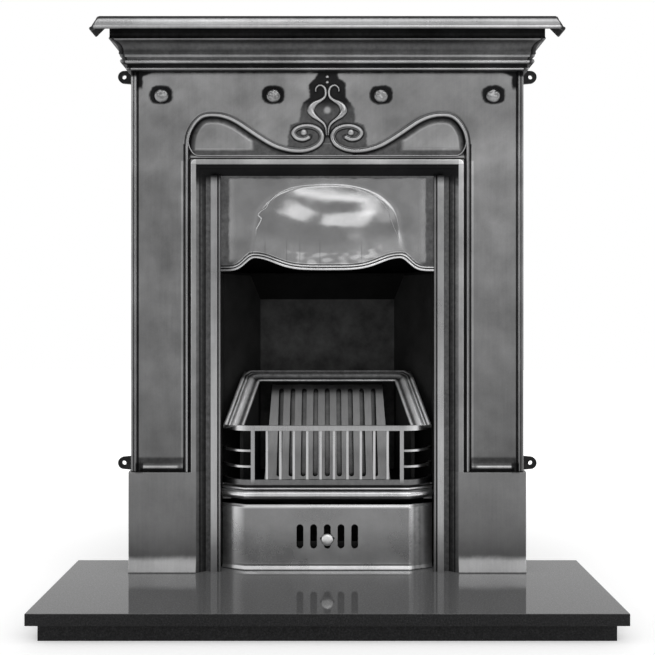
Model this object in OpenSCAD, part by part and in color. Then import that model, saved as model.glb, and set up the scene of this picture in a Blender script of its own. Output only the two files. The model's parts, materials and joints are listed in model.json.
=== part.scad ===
// Cast iron combination fireplace on a boxed granite hearth.
// Every piece is drawn with the wall plane at y = 0, the room towards -y and the hearth top at z = 0;
// on_hearth() then moves it so that the origin is the middle of the footprint, at floor level.

/* [Hearth] */
// Width of the hearth slab
hearth_w = 1219; // [1100:1:1400]
// Depth of the hearth slab
hearth_d = 381; // [340:1:450]
// Thickness of the hearth slab
slab_t = 25; // [15:1:40]
// Height of the risers under the slab
riser_h = 37; // [15:1:60]
// Thickness of the risers
riser_t = 20; // [12:1:30]
// How far the risers stand back from the slab's edge
riser_setback = 20; // [5:1:60]

/* [Front casting] */
// Half width of the body above the plinths
body_hw = 458; // [440:1:500]
// Height of the front casting
body_h = 1168; // [1120:1:1250]
// Distance from the wall to the plinth face
face_y = 106; // [100:1:130]
// How far the panels lie behind the plinth face
panel_recess = 7; // [4:0.5:9]
// Thickness of the cast panels
panel_t = 9; // [6:0.5:12]
// Thickness of the side returns
return_t = 8; // [5:0.5:12]
// How far a plinth stands out past the body at its side
plinth_step = 5; // [2:0.5:8]
// Height of the plinths
plinth_h = 235; // [150:1:280]
// Inner edge of a plinth, and outer edge of the frame band
band_out = 318; // [312:1:324]
// Width of the frame band
band_w = 12; // [8:1:14]
// Half width of the casting's opening
opening_hw = 285; // [276:1:290]
// Top of the casting's opening
opening_h = 926; // [900:1:940]

/* [Frieze] */
// Diameter of the frieze bosses
boss_d = 35; // [24:1:44]
// Height of the frieze bosses
boss_rise = 9; // [4:0.5:14]
// Distance of the outer bosses from the middle
boss_x_out = 387; // [370:1:400]
// Distance of the inner bosses from the middle
boss_x_in = 125.6; // [110:0.1:140]
// Height of the bosses above the hearth
boss_z = 1112; // [1090:1:1125]
// Relief of the ornament
ornament_rise = 5; // [2:0.5:8]

/* [Wall lugs] */
// Distance of the lug holes from the middle
lug_x = 495.5; // [485:0.5:540]
// Height of the upper lug holes
lug_z_top = 1180; // [1150:1:1185]
// Height of the lower lug holes
lug_z_low = 239; // [200:1:300]
// Radius of the lug holes
lug_hole_r = 5.5; // [3:0.5:8]
// Radius of a lug's round end
lug_r = 15; // [12:0.5:20]
// Height of a lug where it joins the casting
lug_root_h = 36; // [30:1:60]
// Thickness of the lugs
lug_t = 8; // [5:0.5:12]

/* [Cornice and shelf] */
// Height of the cornice
cornice_h = 92; // [88:1:110]
// Projection of the cornice's fascia past the body
cornice_out = 39; // [36:1:50]
// Half width of the shelf at its lower edge
shelf_hw = 533.5; // [525:0.5:560]
// Distance from the wall to the shelf's front edge
shelf_reach = 197; // [190:1:215]
// Thickness of the shelf plate
shelf_t = 10; // [8:0.5:14]
// Drop of the shelf's lip below its plate
lip_drop = 22; // [12:1:30]
// How far the shelf's edge leans back from bottom to top
shelf_lean = 16; // [6:1:20]
// Depth of the shelf's two end lips
end_lip_d = 62; // [52:1:70]
// Distances of the four fixing bolts from the middle
bolt_xs = [-380, -130, 130, 380];
// Radius of the cornice and shelf bolts
bolt_r = 4; // [3:0.5:5]

/* [Inner frame] */
// Half width of the fire opening
fire_hw = 250; // [235:1:252]
// Outer edge of the raised strip
strip_out = 272; // [262:1:274]
// Width of the raised strip
strip_w = 15; // [8:1:16]
// How far the raised strip lies behind the plinth face
strip_recess = 5; // [3:0.5:8]
// Thickness of the frame's flange
flange_t = 6; // [4:0.5:8]
// Radius of the frame and hood bolts
small_bolt_r = 3; // [2:0.5:3.5]

/* [Hood] */
// Lowest height of the hood's wavy edge
hood_low = 701.5; // [690:0.5:715]
// Rise of the wave's two crests
wave_rise = 30.5; // [10:0.5:40]
// Distance of the crests from the middle
crest_x = 169.5; // [150:0.5:180]
// Thickness of the hood
hood_t = 6; // [4:0.5:8]
// Depth of the bulge
bulge_d = 52; // [30:1:56]
// Half width of the bulge
bulge_hw = 166; // [150:1:175]
// Height of the bulge's rounded top above its middle
bulge_h = 106; // [90:1:115]

/* [Fire opening] */
// Thickness of the cheeks
cheek_t = 8; // [5:0.5:12]
// Height of the cheeks above the fireback's top
throat_rise = 60; // [52:1:61]
// Distance from the wall back to the face of the fireback
fireback_y = 137; // [125:1:160]
// Half width of the fireback
fireback_hw = 174; // [165:1:185]
// Height of the fireback
fireback_h = 640; // [600:1:660]
// Thickness of the fireback
fireback_t = 25; // [15:1:35]

/* [Smoke chamber and damper] */
// Height of the smoke chamber
chamber_h = 208; // [190:1:230]
// Wall of the smoke chamber
chamber_t = 8; // [5:0.5:10]
// Half width of the flue outlet
flue_hw = 150; // [100:1:152]
// Depth of the flue outlet
flue_d = 120; // [80:1:124]
// Overlap of the damper flap on the outlet's edge
flap_lap = 8; // [4:1:9]
// Thickness of the damper flap
flap_t = 6; // [4:0.5:7]
// Radius of the damper's pin
pin_r = 4; // [3:0.5:5]

/* [Grate] */
// Height of the grate bed's top
bed_top = 198; // [190:1:204]
// Thickness of the grate bed
bed_t = 8; // [5:0.5:10]
// Height of the front bars' top rail
rail_top = 340; // [320:1:360]
// Height of the front bars' foot
rail_foot = 201; // [199:1:206]
// Height of the rails
rail_h = 12; // [8:1:16]
// Depth of the rails and bars
rail_d = 8; // [6:0.5:12]
// Number of thin bars
bar_count = 10; // [6:1:12]
// Distance between thin bars
bar_pitch = 31.5; // [26:0.5:34]
// Width of a thin bar
bar_w = 5.5; // [4:0.5:8]
// Number of slots in the back grate
slot_count = 9; // [5:1:9]
// Distance between the back grate's slots
slot_pitch = 29; // [24:0.5:30]
// Width of the back grate's slots
slot_w = 12; // [6:0.5:14]
// Width of the basket rim's moulding
rim_w = 47; // [36:1:50]

/* [Ash pit] */
// Height of the ash cover
cover_h = 154; // [145:1:156]
// Half width of the cover's front facet
cover_facet = 193.6; // [180:0.1:205]
// How far the cover's ends stand back
cover_back = 22; // [10:1:24]
// Thickness of the cover
cover_t = 6; // [4:0.5:7]
// Distance from the wall to the cover's front
cover_y = 83; // [82:0.5:84]
// Number of air slots
air_count = 5; // [3:2:5]
// Distance between air slots
air_pitch = 32.2; // [30:0.1:36]
// Width of an air slot
air_w = 16; // [10:0.5:18]
// Height of an air slot
air_h = 57; // [40:1:60]
// Height of the air slots' middle above the hearth
air_z = 79; // [70:1:84]
// Travel of the air slider to each side
slider_travel = 13.5; // [8:0.5:14]
// Diameter of the slider's knob
knob_d = 28.6; // [20:0.2:32]
// Half width of the ash pan
pan_hw = 140; // [110:1:150]
// Height of the ash pan
pan_h = 50; // [35:1:80]
// Sheet thickness of the ash pan
pan_t = 2.5; // [1.5:0.5:4]

/* [Hidden] */
$fn = 48;

iron = "dimgray";
black_iron = [0.16, 0.16, 0.17];
granite = [0.12, 0.12, 0.13];
bright = "silver";

eps = 0.05;             // overlap of fused shapes and excess of cuts
gap = 0.3;              // clearance between pieces that move
seat = 0.05;            // clearance of a sloping seat
thread_gap = 0.05;      // clearance of a bolt in its thread
screw_in = 8;           // how far the small bolts reach into the casting

hearth_top = slab_t + riser_h;
wall_y = (hearth_d - fireback_y - fireback_t) / 2;

face = -face_y;
panel_face = face + panel_recess;
panel_back = panel_face + panel_t;
plinth_hw = body_hw + plinth_step;
band_in = band_out - band_w;
cove_in = band_in - opening_hw;         // the cove's width, at the sides and at the top
band_base = opening_h + cove_in + 4;    // lower edge of the band across the top
band_top = band_base + band_w;

// Bolts: head height as a share of the radius is that of a plain hexagon bolt
function head_r(r) = 1.85 * r;
function head_h(r) = 1.4 * r;

module on_hearth() {
    translate([0, wall_y, hearth_top]) children();
}

// A flat shape drawn in x and z, cut from y = front to y = back
module upright(front, back) {
    translate([0, back, 0]) rotate([90, 0, 0]) linear_extrude(back - front) children();
}

// A profile drawn in y and z, run along x to both sides
module run_x(half) {
    translate([-half, 0, 0]) rotate([90, 0, 90]) linear_extrude(2 * half) children();
}

module both_sides() {
    children();
    mirror([1, 0, 0]) children();
}

module box(low, high) {
    translate(low) cube(high - low);
}

// A hexagon bolt along +z: head below z = 0, shank above
module bolt(r, length) {
    translate([0, 0, -head_h(r)]) cylinder(r = head_r(r), h = head_h(r), $fn = 6);
    translate([0, 0, -eps]) cylinder(r = r, h = length + eps);
}

// ---------------------------------------------------------------- hearth

riser_x = hearth_w / 2 - riser_setback;
riser_front = -hearth_d + riser_setback;

module hearth_slab() {
    color(granite) on_hearth() box([-hearth_w / 2, -hearth_d, -slab_t], [hearth_w / 2, 0, 0]);
}

module riser(low, high) {
    color(granite) on_hearth() box([low.x, low.y, -hearth_top], [high.x, high.y, -slab_t]);
}

module hearth_front_riser() {
    riser([-riser_x, riser_front], [riser_x, riser_front + riser_t]);
}

module hearth_left_riser() {
    riser([-riser_x, riser_front + riser_t], [-riser_x + riser_t, -riser_t]);
}

module hearth_right_riser() {
    riser([riser_x - riser_t, riser_front + riser_t], [riser_x, -riser_t]);
}

module hearth_back_riser() {
    riser([-riser_x, -riser_t], [riser_x, 0]);
}

// ---------------------------------------------------------------- frieze ornament

// One point of a smooth curve through the points p, at t from 0 to len(p) - 1
function curve_at(p, t) =
    let (n = len(p), i = min(floor(t), n - 2), f = t - i,
         a = p[max(i - 1, 0)], b = p[i], c = p[i + 1], d = p[min(i + 2, n - 1)])
    0.5 * (2 * b + (c - a) * f + (2 * a - 5 * b + 4 * c - d) * f * f + (3 * b - a - 3 * c + d) * f * f * f);

function curve(p, steps) = [for (k = [0:(len(p) - 1) * steps]) curve_at(p, k / steps)];

function side_of(c, k, w) =
    let (a = c[max(k - 1, 0)], b = c[min(k + 1, len(c) - 1)], d = (b - a) / norm(b - a))
    c[k] + [-d.y, d.x] * w / 2;

// A flat ribbon of varying width along a curve
module ribbon(points, widths, steps = 3) {
    c = curve(points, steps);
    w = [for (k = [0:len(c) - 1]) lookup(k / steps, [for (i = [0:len(widths) - 1]) [i, widths[i]]])];
    polygon(concat(
        [for (k = [0:len(c) - 1]) side_of(c, k, w[k])],
        [for (k = [len(c) - 1:-1:0]) side_of(c, k, -w[k])]));
}

// Left half of the whiplash line, from the loop above the frame's corner to the scroll at the middle
whiplash = [[-305, 971.5], [-316, 980], [-324, 993], [-326, 1008], [-321, 1028], [-307, 1051], [-287, 1065],
    [-258, 1067], [-234, 1062], [-212, 1052], [-189, 1037], [-167, 1022], [-145, 1008], [-123, 996],
    [-100, 988], [-78, 984], [-56, 984], [-34, 990], [-16, 1002], [-8, 1017], [-15, 1031], [-34, 1040],
    [-56, 1041], [-74, 1034], [-79, 1024], [-71, 1013], [-56, 1010], [-42, 1016]];
whiplash_w = [for (k = [0:len(whiplash) - 1]) k < 3 ? 5 : k < 7 ? 8 : k < 20 ? 10 : k < 26 ? 8 : 5];
// Left half of the bud above the scrolls, from its curled tip down
bud = [[-31, 1126], [-18, 1135], [-6, 1128], [-3, 1119], [-5, 1109], [-15, 1100], [-30, 1094], [-42, 1085],
    [-46, 1075], [-34, 1066], [-19, 1057], [-8, 1048], [-4, 1039], [-3, 1017]];
bud_w = [3, 3.5, 4, 5, 5, 6, 9, 11, 10, 7, 6, 6, 6, 5];
eye = [-55, 1026];      // middle of a scroll's eye
eye_r = 7;
line_w = 7;             // width of the thin line beside the frame band
line_x = band_out + 6;  // inner edge of the thin line
line_base = 246;
line_top = 1008;        // where the thin line runs into the whiplash line
ledge_z = 971.5;        // the line above the frame band
ledge_h = 4;
ledge_hw = 305;         // where the line turns up into the whiplash line
bead_r = 4.5;

module ornament() {
    both_sides() {
        upright(panel_face - ornament_rise, panel_face + eps) {
            ribbon(whiplash, whiplash_w);
            ribbon(bud, bud_w);
        }
        upright(panel_face - ornament_rise, panel_face + eps) translate(eye) circle(r = eye_r);
    }
    for (z = [1156, 1143]) dome([0, z], 9, 4);
    upright(panel_face - ornament_rise + 1, panel_face + eps) {
        translate([-ledge_hw, ledge_z - ledge_h / 2]) square([2 * ledge_hw, ledge_h]);
    }
}

// A round boss standing on the frieze
module dome(at, diameter, rise) {
    r = (diameter * diameter / 4 + rise * rise) / (2 * rise);
    translate([at.x, panel_face + eps, at.y]) rotate([90, 0, 0]) rotate_extrude()
        intersection() {
            translate([0, rise - r]) circle(r = r, $fn = 96);
            square([diameter, rise]);
        }
}

module bosses() {
    both_sides() for (x = [boss_x_in, boss_x_out]) dome([x, boss_z], boss_d, boss_rise);
}

// ---------------------------------------------------------------- front casting

module rod_z(x, r, low, high) {
    translate([x, panel_face, low]) cylinder(r = r, h = high - low);
}

// The space that flares from the opening's inner edge out to the frame band
module cove_space() {
    intersection() {
        translate([0, 0, -1]) linear_extrude(band_base + 50) polygon([
            [-band_in, face - eps], [band_in, face - eps],
            [opening_hw, panel_back + eps], [-opening_hw, panel_back + eps]]);
        run_x(band_out) polygon([
            [face - eps, -1], [face - eps, band_base], [panel_back + eps, opening_h], [panel_back + eps, -1]]);
    }
}

module band() {
    upright(face, panel_back) difference() {
        union() {
            translate([-band_out, 0]) square([2 * band_out, band_top - 10]);
            translate([-band_out + 10, 0]) square([2 * (band_out - 10), band_top]);
            for (s = [-1, 1]) translate([s * (band_out - 10), band_top - 10]) circle(r = 10);
        }
        translate([-opening_hw + 10, -1]) square([2 * (opening_hw - 10), opening_h - 9]);
    }
}

module wall_lugs() {
    for (z = [lug_z_low, lug_z_top]) upright(-lug_t, 0) difference() {
        union() {
            translate([lug_x, z]) circle(r = lug_r);
            polygon([[body_hw - return_t, z - lug_root_h / 2], [body_hw + 4, z - lug_root_h / 2],
                [lug_x, z - lug_r], [lug_x, z + lug_r], [body_hw + 4, z + lug_root_h / 2],
                [body_hw - return_t, z + lug_root_h / 2]]);
        }
        translate([lug_x, z]) circle(r = lug_hole_r);
    }
    // strip along the wall that carries the upper lug past the cornice's end
    box([body_hw - 18, -lug_t, body_h - 70], [body_hw, 0, lug_z_top + lug_root_h / 2]);
}

flange_y = -70;         // bolt line of the flanges under the cornice
top_flange_t = 8;

module front_casting() {
    color(iron) on_hearth() difference() {
        union() {
            upright(panel_face, panel_back) difference() {
                translate([-body_hw, 0]) square([2 * body_hw, body_h]);
                translate([-opening_hw, -1]) square([2 * opening_hw, opening_h + 1]);
            }
            band();
            both_sides() {
                // plinth with its light bevelled top
                box([band_in, face, 0], [plinth_hw, panel_back, plinth_h]);
                box([plinth_hw - return_t, face, 0], [plinth_hw, 0, plinth_h]);
                box([body_hw - return_t, panel_face, 0], [body_hw, 0, body_h]);
                // edge bead, panel foot and thin line
                rod_z(body_hw - 20, bead_r, plinth_h, body_h);
                rod_z(body_hw - 8, bead_r + 1, plinth_h, body_h);
                translate([line_x + 9, panel_face, plinth_h + 12.5]) rotate([0, 90, 0])
                    cylinder(r = bead_r, h = body_hw - 24 - line_x - 9);
                box([line_x, panel_face - 4, plinth_h], [line_x + line_w, panel_back, line_top]);
                wall_lugs();
            }
            ornament();
            bosses();
            box([-body_hw + eps, panel_face, body_h - top_flange_t], [body_hw - eps, -40, body_h]);
        }
        cove_space();
        for (x = bolt_xs) translate([x, flange_y, body_h - 20]) cylinder(r = bolt_r + 0.5, h = 40);
        frame_bolt_places() translate([0, 0, -eps]) cylinder(r = small_bolt_r + thread_gap, h = screw_in + 2);
    }
}

// ---------------------------------------------------------------- cornice and shelf

cornice_top = body_h + cornice_h;
cornice_base_y = face + 1;      // plane that the cornice's projections count from
cornice_back = -lug_t - 0.5;    // clear of the lug strip
cavetto_r = 17;
cavetto_low = [cornice_out - 16, body_h + 37];

// Profile as projection and height: bead, recess, bead, two fillets, cavetto, fascia
cornice_profile = concat(
    [[8, body_h], [8, body_h + 5], [6, body_h + 7], [6, body_h + 16]],
    [for (a = [-60:30:60]) [15 + 4 * cos(a), body_h + 20 + 4 * sin(a)]],
    [[17, body_h + 31], [20, body_h + 31], [20, body_h + 36], cavetto_low],
    [for (a = [180:-15:105]) [cornice_out + cavetto_r * cos(a), cavetto_low.y + 2 + cavetto_r * sin(a)]],
    [[cornice_out, cavetto_low.y + cavetto_r + 2], [cornice_out + 1.5, body_h + 60],
     [cornice_out, body_h + 63], [cornice_out, cornice_top]]);

module cornice_solid() {
    intersection() {
        run_x(body_hw + cornice_out + 20) polygon(concat(
            [for (q = cornice_profile) [cornice_base_y - q.x, q.y]],
            [[cornice_back, cornice_top], [cornice_back, body_h]]));
        upright(face - cornice_out - 20, 0) polygon(concat(
            [for (q = cornice_profile) [body_hw + q.x, q.y]],
            [for (k = [len(cornice_profile) - 1:-1:0])
                [-body_hw - cornice_profile[k].x, cornice_profile[k].y]]));
    }
}

module cornice() {
    low = body_h + top_flange_t;
    high = cornice_top - top_flange_t;
    step_z = cavetto_low.y;
    color(iron) on_hearth() difference() {
        cornice_solid();
        box([-body_hw + 2, face + 8, low], [body_hw - 2, 1, step_z + eps]);
        box([-body_hw - 14, face - 12, step_z], [body_hw + 14, 1, high]);
        box([-body_hw + 30, -35, body_h - 1], [body_hw - 30, 1, cornice_top + 1]);
        for (x = bolt_xs) {
            translate([x, flange_y, body_h - 1]) cylinder(r = bolt_r + 0.5, h = top_flange_t + 2);
            translate([x, flange_y, high - 1]) cylinder(r = bolt_r + 0.5, h = top_flange_t + 2);
        }
    }
}

nut_h = 1.6 * bolt_r;

module cornice_bolts() {
    color(bright) on_hearth() for (x = bolt_xs)
        translate([x, flange_y, body_h + top_flange_t]) mirror([0, 0, 1])
            bolt(bolt_r, 2 * top_flange_t + nut_h + 1.4 * bolt_r);
}

module cornice_nuts() {
    color(bright) on_hearth() for (x = bolt_xs)
        translate([x, flange_y, body_h - top_flange_t - nut_h]) difference() {
            cylinder(r = head_r(bolt_r), h = nut_h, $fn = 6);
            translate([0, 0, -1]) cylinder(r = bolt_r + thread_gap, h = nut_h + 2);
        }
}

shelf_top = cornice_top + shelf_t;
shelf_low = cornice_top - lip_drop;
shelf_hw_top = shelf_hw - shelf_lean;
shelf_rear_hw = body_hw + cornice_out;
ear_r = shelf_hw_top - shelf_rear_hw;   // hollow corner between end lip and rear plate
screw_depth = shelf_t - 3;

// Edge profile as set-back from the outermost edge, and height
shelf_edge = [[2, shelf_low], [0, shelf_low + 3], [0, shelf_low + 6], [2, shelf_low + 8],
    [4, shelf_low + 9], [11, shelf_top - 9], [13, shelf_top - 8], [14, shelf_top - 3],
    [shelf_lean, shelf_top]];

module mantel_shelf() {
    rear = -shelf_reach + end_lip_d;
    color(iron) on_hearth() difference() {
        union() {
            difference() {
                intersection() {
                    run_x(shelf_hw + 5) polygon(concat(
                        [for (q = shelf_edge) [-shelf_reach + q.x, q.y]], [[rear, shelf_top], [rear, shelf_low]]));
                    upright(-shelf_reach - 5, 0) polygon(concat(
                        [for (q = shelf_edge) [shelf_hw - q.x, q.y]],
                        [for (k = [len(shelf_edge) - 1:-1:0]) [-shelf_hw + shelf_edge[k].x, shelf_edge[k].y]]));
                }
                // hollow underside, its walls sloping in at 45 degrees
                intersection() {
                    run_x(shelf_hw + 5) polygon([[-shelf_reach + 4, shelf_low - 1],
                        [-shelf_reach + 5 + lip_drop, cornice_top], [rear + 1, cornice_top],
                        [rear + 1, shelf_low - 1]]);
                    upright(-shelf_reach - 5, 0) polygon([[-shelf_hw + 4, shelf_low - 1],
                        [shelf_hw - 4, shelf_low - 1], [shelf_hw - 5 - lip_drop, cornice_top],
                        [-shelf_hw + 5 + lip_drop, cornice_top]]);
                }
            }
            box([-shelf_rear_hw, rear - eps, cornice_top], [shelf_rear_hw, 0, shelf_top]);
            both_sides() translate([0, 0, cornice_top]) linear_extrude(shelf_t) difference() {
                translate([shelf_rear_hw - eps, rear - eps]) square(ear_r + eps);
                translate([shelf_hw_top, rear + ear_r]) circle(r = ear_r);
            }
        }
        for (x = bolt_xs) translate([x, flange_y, cornice_top - 1])
            cylinder(r = bolt_r + thread_gap, h = screw_depth + 1);
    }
}

module shelf_bolts() {
    color(bright) on_hearth() for (x = bolt_xs)
        translate([x, flange_y, cornice_top - top_flange_t]) bolt(bolt_r, top_flange_t + screw_depth - 1);
}

// ---------------------------------------------------------------- inner frame and hood

flange_out = band_out + 4;
frame_top = band_top + 22;
strip_in = strip_out - strip_w;
hood_top = opening_h - 0.5;

// Bolts that hold the inner frame to the casting's back, pointing to the room
module frame_bolt_places() {
    for (s = [-1, 1], z = [0.06, 0.5, 0.94] * band_top)
        translate([s * (band_in + band_w / 2), panel_back, z]) rotate([90, 0, 0]) children();
}

module hood_bolt_places() {
    for (s = [-1, 1], z = [hood_low + 60, hood_top - 45])
        translate([s * (strip_in + strip_w / 2), panel_back + flange_t, z]) rotate([90, 0, 0]) children();
}

module insert_frame() {
    color(iron) on_hearth() difference() {
        union() {
            upright(panel_back, panel_back + flange_t) difference() {
                translate([-flange_out, 0]) square([2 * flange_out, frame_top]);
                translate([-fire_hw, -1]) square([2 * fire_hw, opening_h + 1]);
            }
            both_sides() {
                box([strip_in, face + strip_recess, 0], [strip_out, panel_back + eps, opening_h]);
                box([fire_hw, face + 8, 0], [fire_hw + 3.5, panel_back + eps, opening_h]);
            }
        }
        frame_bolt_places() translate([0, 0, -flange_t - 1]) cylinder(r = small_bolt_r + 0.3, h = flange_t + 2);
        hood_bolt_places() translate([0, 0, -eps]) cylinder(r = small_bolt_r + thread_gap, h = screw_in + 4);
    }
}

module frame_bolts() {
    color(bright) on_hearth() frame_bolt_places() translate([0, 0, -flange_t])
            bolt(small_bolt_r, flange_t + screw_in);
}

// Height of the hood's wavy edge at x
function hood_edge(x) =
    let (d = abs(x) - crest_x, spread = d > 0 ? 29 : 64)
    hood_low + wave_rise * exp(-pow(d / spread, 2));

hood_face = face + 13;  // front of the flat plate
shoulder = hood_top - 21 - bulge_h;     // height where the rounded top begins
lip_rise = 5;
lip_h = 11;

// How far the bulge stands out of the plate at x, z
function bulge(x, z) =
    let (u = abs(x) / (bulge_hw + (z < shoulder ? 9 * pow((shoulder - z) / 60, 2) : 0)),
         v = max(z - shoulder, 0) / bulge_h,
         r = pow(pow(u, 2.3) + pow(v, 2.3), 1 / 2.3),
         tilt = 0.72 + 0.28 * (hood_top - z) / (hood_top - hood_low))
    r >= 1 ? 0 : bulge_d * tilt * pow(1 - pow(r, 2.4), 0.6);

function lip(x, z) = let (h = (z - hood_edge(x)) / lip_h) h >= 1 ? 0 : lip_rise * sqrt(1 - h * h);

hood_cols = 64;
hood_rows = 20;
hood_hw = fire_hw - 0.5;
hood_ear_t = 6;

function hood_point(i, j, back) =
    let (x = -hood_hw + 2 * hood_hw * i / hood_cols, low = hood_edge(x),
         f = j / hood_rows, z = low + (hood_top - low) * (f < 0.12 ? f * 0.5 : 0.06 + (f - 0.12) * 0.94 / 0.88))
    [x, hood_face - bulge(x, z) - (back ? -hood_t : lip(x, z)), z];

module hood_shell() {
    n = hood_cols + 1;
    m = hood_rows + 1;
    pts = [for (b = [0, 1], j = [0:hood_rows], i = [0:hood_cols]) hood_point(i, j, b == 1)];
    half = n * m;
    front = [for (j = [0:hood_rows - 1], i = [0:hood_cols - 1])
        each [[j * n + i, (j + 1) * n + i + 1, j * n + i + 1], [j * n + i, (j + 1) * n + i, (j + 1) * n + i + 1]]];
    back = [for (f = front) [half + f[0], half + f[2], half + f[1]]];
    ring = concat([for (i = [0:hood_cols - 1]) i], [for (j = [0:hood_rows - 1]) j * n + hood_cols],
        [for (i = [hood_cols:-1:1]) hood_rows * n + i], [for (j = [hood_rows:-1:1]) j * n]);
    rim = [for (k = [0:len(ring) - 1]) let (a = ring[k], b = ring[(k + 1) % len(ring)])
        each [[a, b, half + b], [a, half + b, half + a]]];
    polyhedron(pts, concat(front, back, rim));
}

module hood() {
    ear_back = panel_back + flange_t + hood_ear_t;
    color(iron) on_hearth() union() {
        hood_shell();
        both_sides() difference() {
            union() {
                box([hood_hw - 10, hood_face + 3, hood_low + 40], [hood_hw, ear_back, hood_top - 25]);
                box([hood_hw - 10, panel_back + flange_t, hood_low + 40],
                    [strip_out + 6, ear_back, hood_top - 25]);
            }
            hood_bolt_places() translate([0, 0, -12]) cylinder(r = small_bolt_r + 0.3, h = 24);
        }
    }
}

module hood_bolts() {
    color(bright) on_hearth() hood_bolt_places() translate([0, 0, -hood_ear_t])
        bolt(small_bolt_r, hood_ear_t + screw_in + 2);
}

// ---------------------------------------------------------------- fire opening

lining_hw = fire_hw + 2;        // inner face of the cheeks' straight front part
cheek_top = fireback_h + throat_rise;
frame_back = panel_back + flange_t;
turn_y = -12;                   // where the cheeks turn inwards
cheek_slope = (lining_hw - fireback_hw) / (fireback_y - turn_y);
cheek_wall = cheek_t * sqrt(1 + cheek_slope * cheek_slope);

// Inner face of a cheek at depth y
function cheek_x(y) = lining_hw - max(y - turn_y, 0) * cheek_slope;

module cheek() {
    color(black_iron) translate([0, 0, bed_top]) linear_extrude(cheek_top - bed_top) polygon([
        [lining_hw, frame_back], [lining_hw, turn_y], [fireback_hw, fireback_y],
        [fireback_hw + cheek_wall, fireback_y], [lining_hw + cheek_t, turn_y],
        [lining_hw + cheek_t, frame_back]]);
}

module cheek_left() {
    on_hearth() mirror([1, 0, 0]) cheek();
}

module cheek_right() {
    on_hearth() cheek();
}

fireback_back = fireback_y + fireback_t;
fireback_side = lining_hw + cheek_t;

module fireback() {
    color([0.2, 0.2, 0.2]) on_hearth() box([-fireback_side, fireback_y, base_t],
        [fireback_side, fireback_back, fireback_h]);
}

chamber_hw = lining_hw + cheek_t;
chamber_front = frame_back + hood_ear_t + head_h(small_bolt_r) + 1;
chamber_top = cheek_top + chamber_h;
chamber_back = fireback_y + chamber_t;
flue_back = chamber_back - 70;
flue_front = flue_back - flue_d;
hinge_y = flue_back + flap_lap + 5;
hinge_z = chamber_top + 10;
knuckle_r = pin_r + 4;
ear_t = 6;
ear_in = flue_hw + flap_lap + 4;        // inner face of the damper's ears

module smoke_chamber() {
    throat_back = fireback_y - 42;
    color(black_iron) on_hearth() difference() {
        union() {
            box([-chamber_hw, chamber_front, cheek_top], [chamber_hw, chamber_back, chamber_top]);
            // slope from the fireback's top up to the throat, fitted between the cheeks
            intersection() {
                run_x(lining_hw) polygon([[fireback_y, fireback_h], [fireback_y + 13, fireback_h],
                    [throat_back + 15, cheek_top + 1], [throat_back, cheek_top + 1]]);
                translate([0, 0, fireback_h - 1]) linear_extrude(throat_rise + 3) polygon([
                    [-cheek_x(throat_back), throat_back], [cheek_x(throat_back), throat_back],
                    [fireback_hw, fireback_y], [fireback_hw, fireback_back],
                    [-fireback_hw, fireback_back], [-fireback_hw, fireback_y]]);
            }
            both_sides() box([ear_in, hinge_y - 8, chamber_top - eps],
                [ear_in + ear_t, hinge_y + 8, hinge_z + 8]);
        }
        box([-chamber_hw + chamber_t, chamber_front - 1, cheek_top + 6],
            [chamber_hw - chamber_t, chamber_back - chamber_t, chamber_top - chamber_t]);
        // throat between the cheeks
        translate([0, 0, cheek_top - 1]) linear_extrude(8) polygon([
            [-lining_hw, chamber_front - 1], [lining_hw, chamber_front - 1], [lining_hw, turn_y],
            [cheek_x(throat_back), throat_back], [-cheek_x(throat_back), throat_back], [-lining_hw, turn_y]]);
        box([-flue_hw, flue_front, chamber_top - chamber_t - 1], [flue_hw, flue_back, chamber_top + 1]);
        translate([-ear_in - 20, hinge_y, hinge_z]) rotate([0, 90, 0])
            cylinder(r = pin_r + thread_gap, h = 2 * ear_in + 40);
    }
}

module damper_flap() {
    knuckle_w = 30;
    low = chamber_top + gap;
    color(black_iron) on_hearth() difference() {
        union() {
            box([-flue_hw - flap_lap, flue_front - flap_lap, low],
                [flue_hw + flap_lap, flue_back + flap_lap, low + flap_t]);
            for (s = [-1, 1]) translate([s * 110 - knuckle_w / 2, 0, 0]) {
                translate([0, hinge_y, hinge_z]) rotate([0, 90, 0]) cylinder(r = knuckle_r, h = knuckle_w);
                box([0, hinge_y - 24, low + flap_t - eps], [knuckle_w, hinge_y, hinge_z + 2]);
            }
            // stiffening rib, also where a poker pushes
            box([-flue_hw + 20, (flue_front + flue_back) / 2 - 4, low + flap_t - eps],
                [flue_hw - 20, (flue_front + flue_back) / 2 + 4, low + flap_t + 8]);
        }
        translate([-ear_in, hinge_y, hinge_z]) rotate([0, 90, 0])
            cylinder(r = pin_r + 2 * thread_gap, h = 2 * ear_in);
    }
}

module damper_pin() {
    half = ear_in + ear_t + 4;
    color(bright) on_hearth() translate([-half, hinge_y, hinge_z]) rotate([0, 90, 0])
        cylinder(r = pin_r, h = 2 * half);
}

// ---------------------------------------------------------------- grate and fire basket

rim_front_y = -60;
rim_back_y = 61.5;
rim_back_z = 451.7;
rim_angle = atan((rim_back_z - rail_top) / (rim_back_y - rim_front_y));
rim_len = norm([rim_back_z - rail_top, rim_back_y - rim_front_y]);
rim_hw = fire_hw - 4;
rim_hw_back = cheek_x(rim_back_y) - 4;
rim_step = 5;

// Height of the rim's underside at depth y
function rim_z(y) = rail_top + (y - rim_front_y) * tan(rim_angle);

// The rim's U shape in its own slope, with arms of width w
module rim_outline(w) {
    back_in = rim_hw_back - 0.8 * w;
    difference() {
        polygon([[-rim_hw, 0], [rim_hw, 0], [rim_hw_back, rim_len], [-rim_hw_back, rim_len]]);
        polygon([[-rim_hw + w, -1], [rim_hw - w, -1], [back_in, rim_len - 0.6 * w],
            [-back_in, rim_len - 0.6 * w]]);
    }
}

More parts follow.
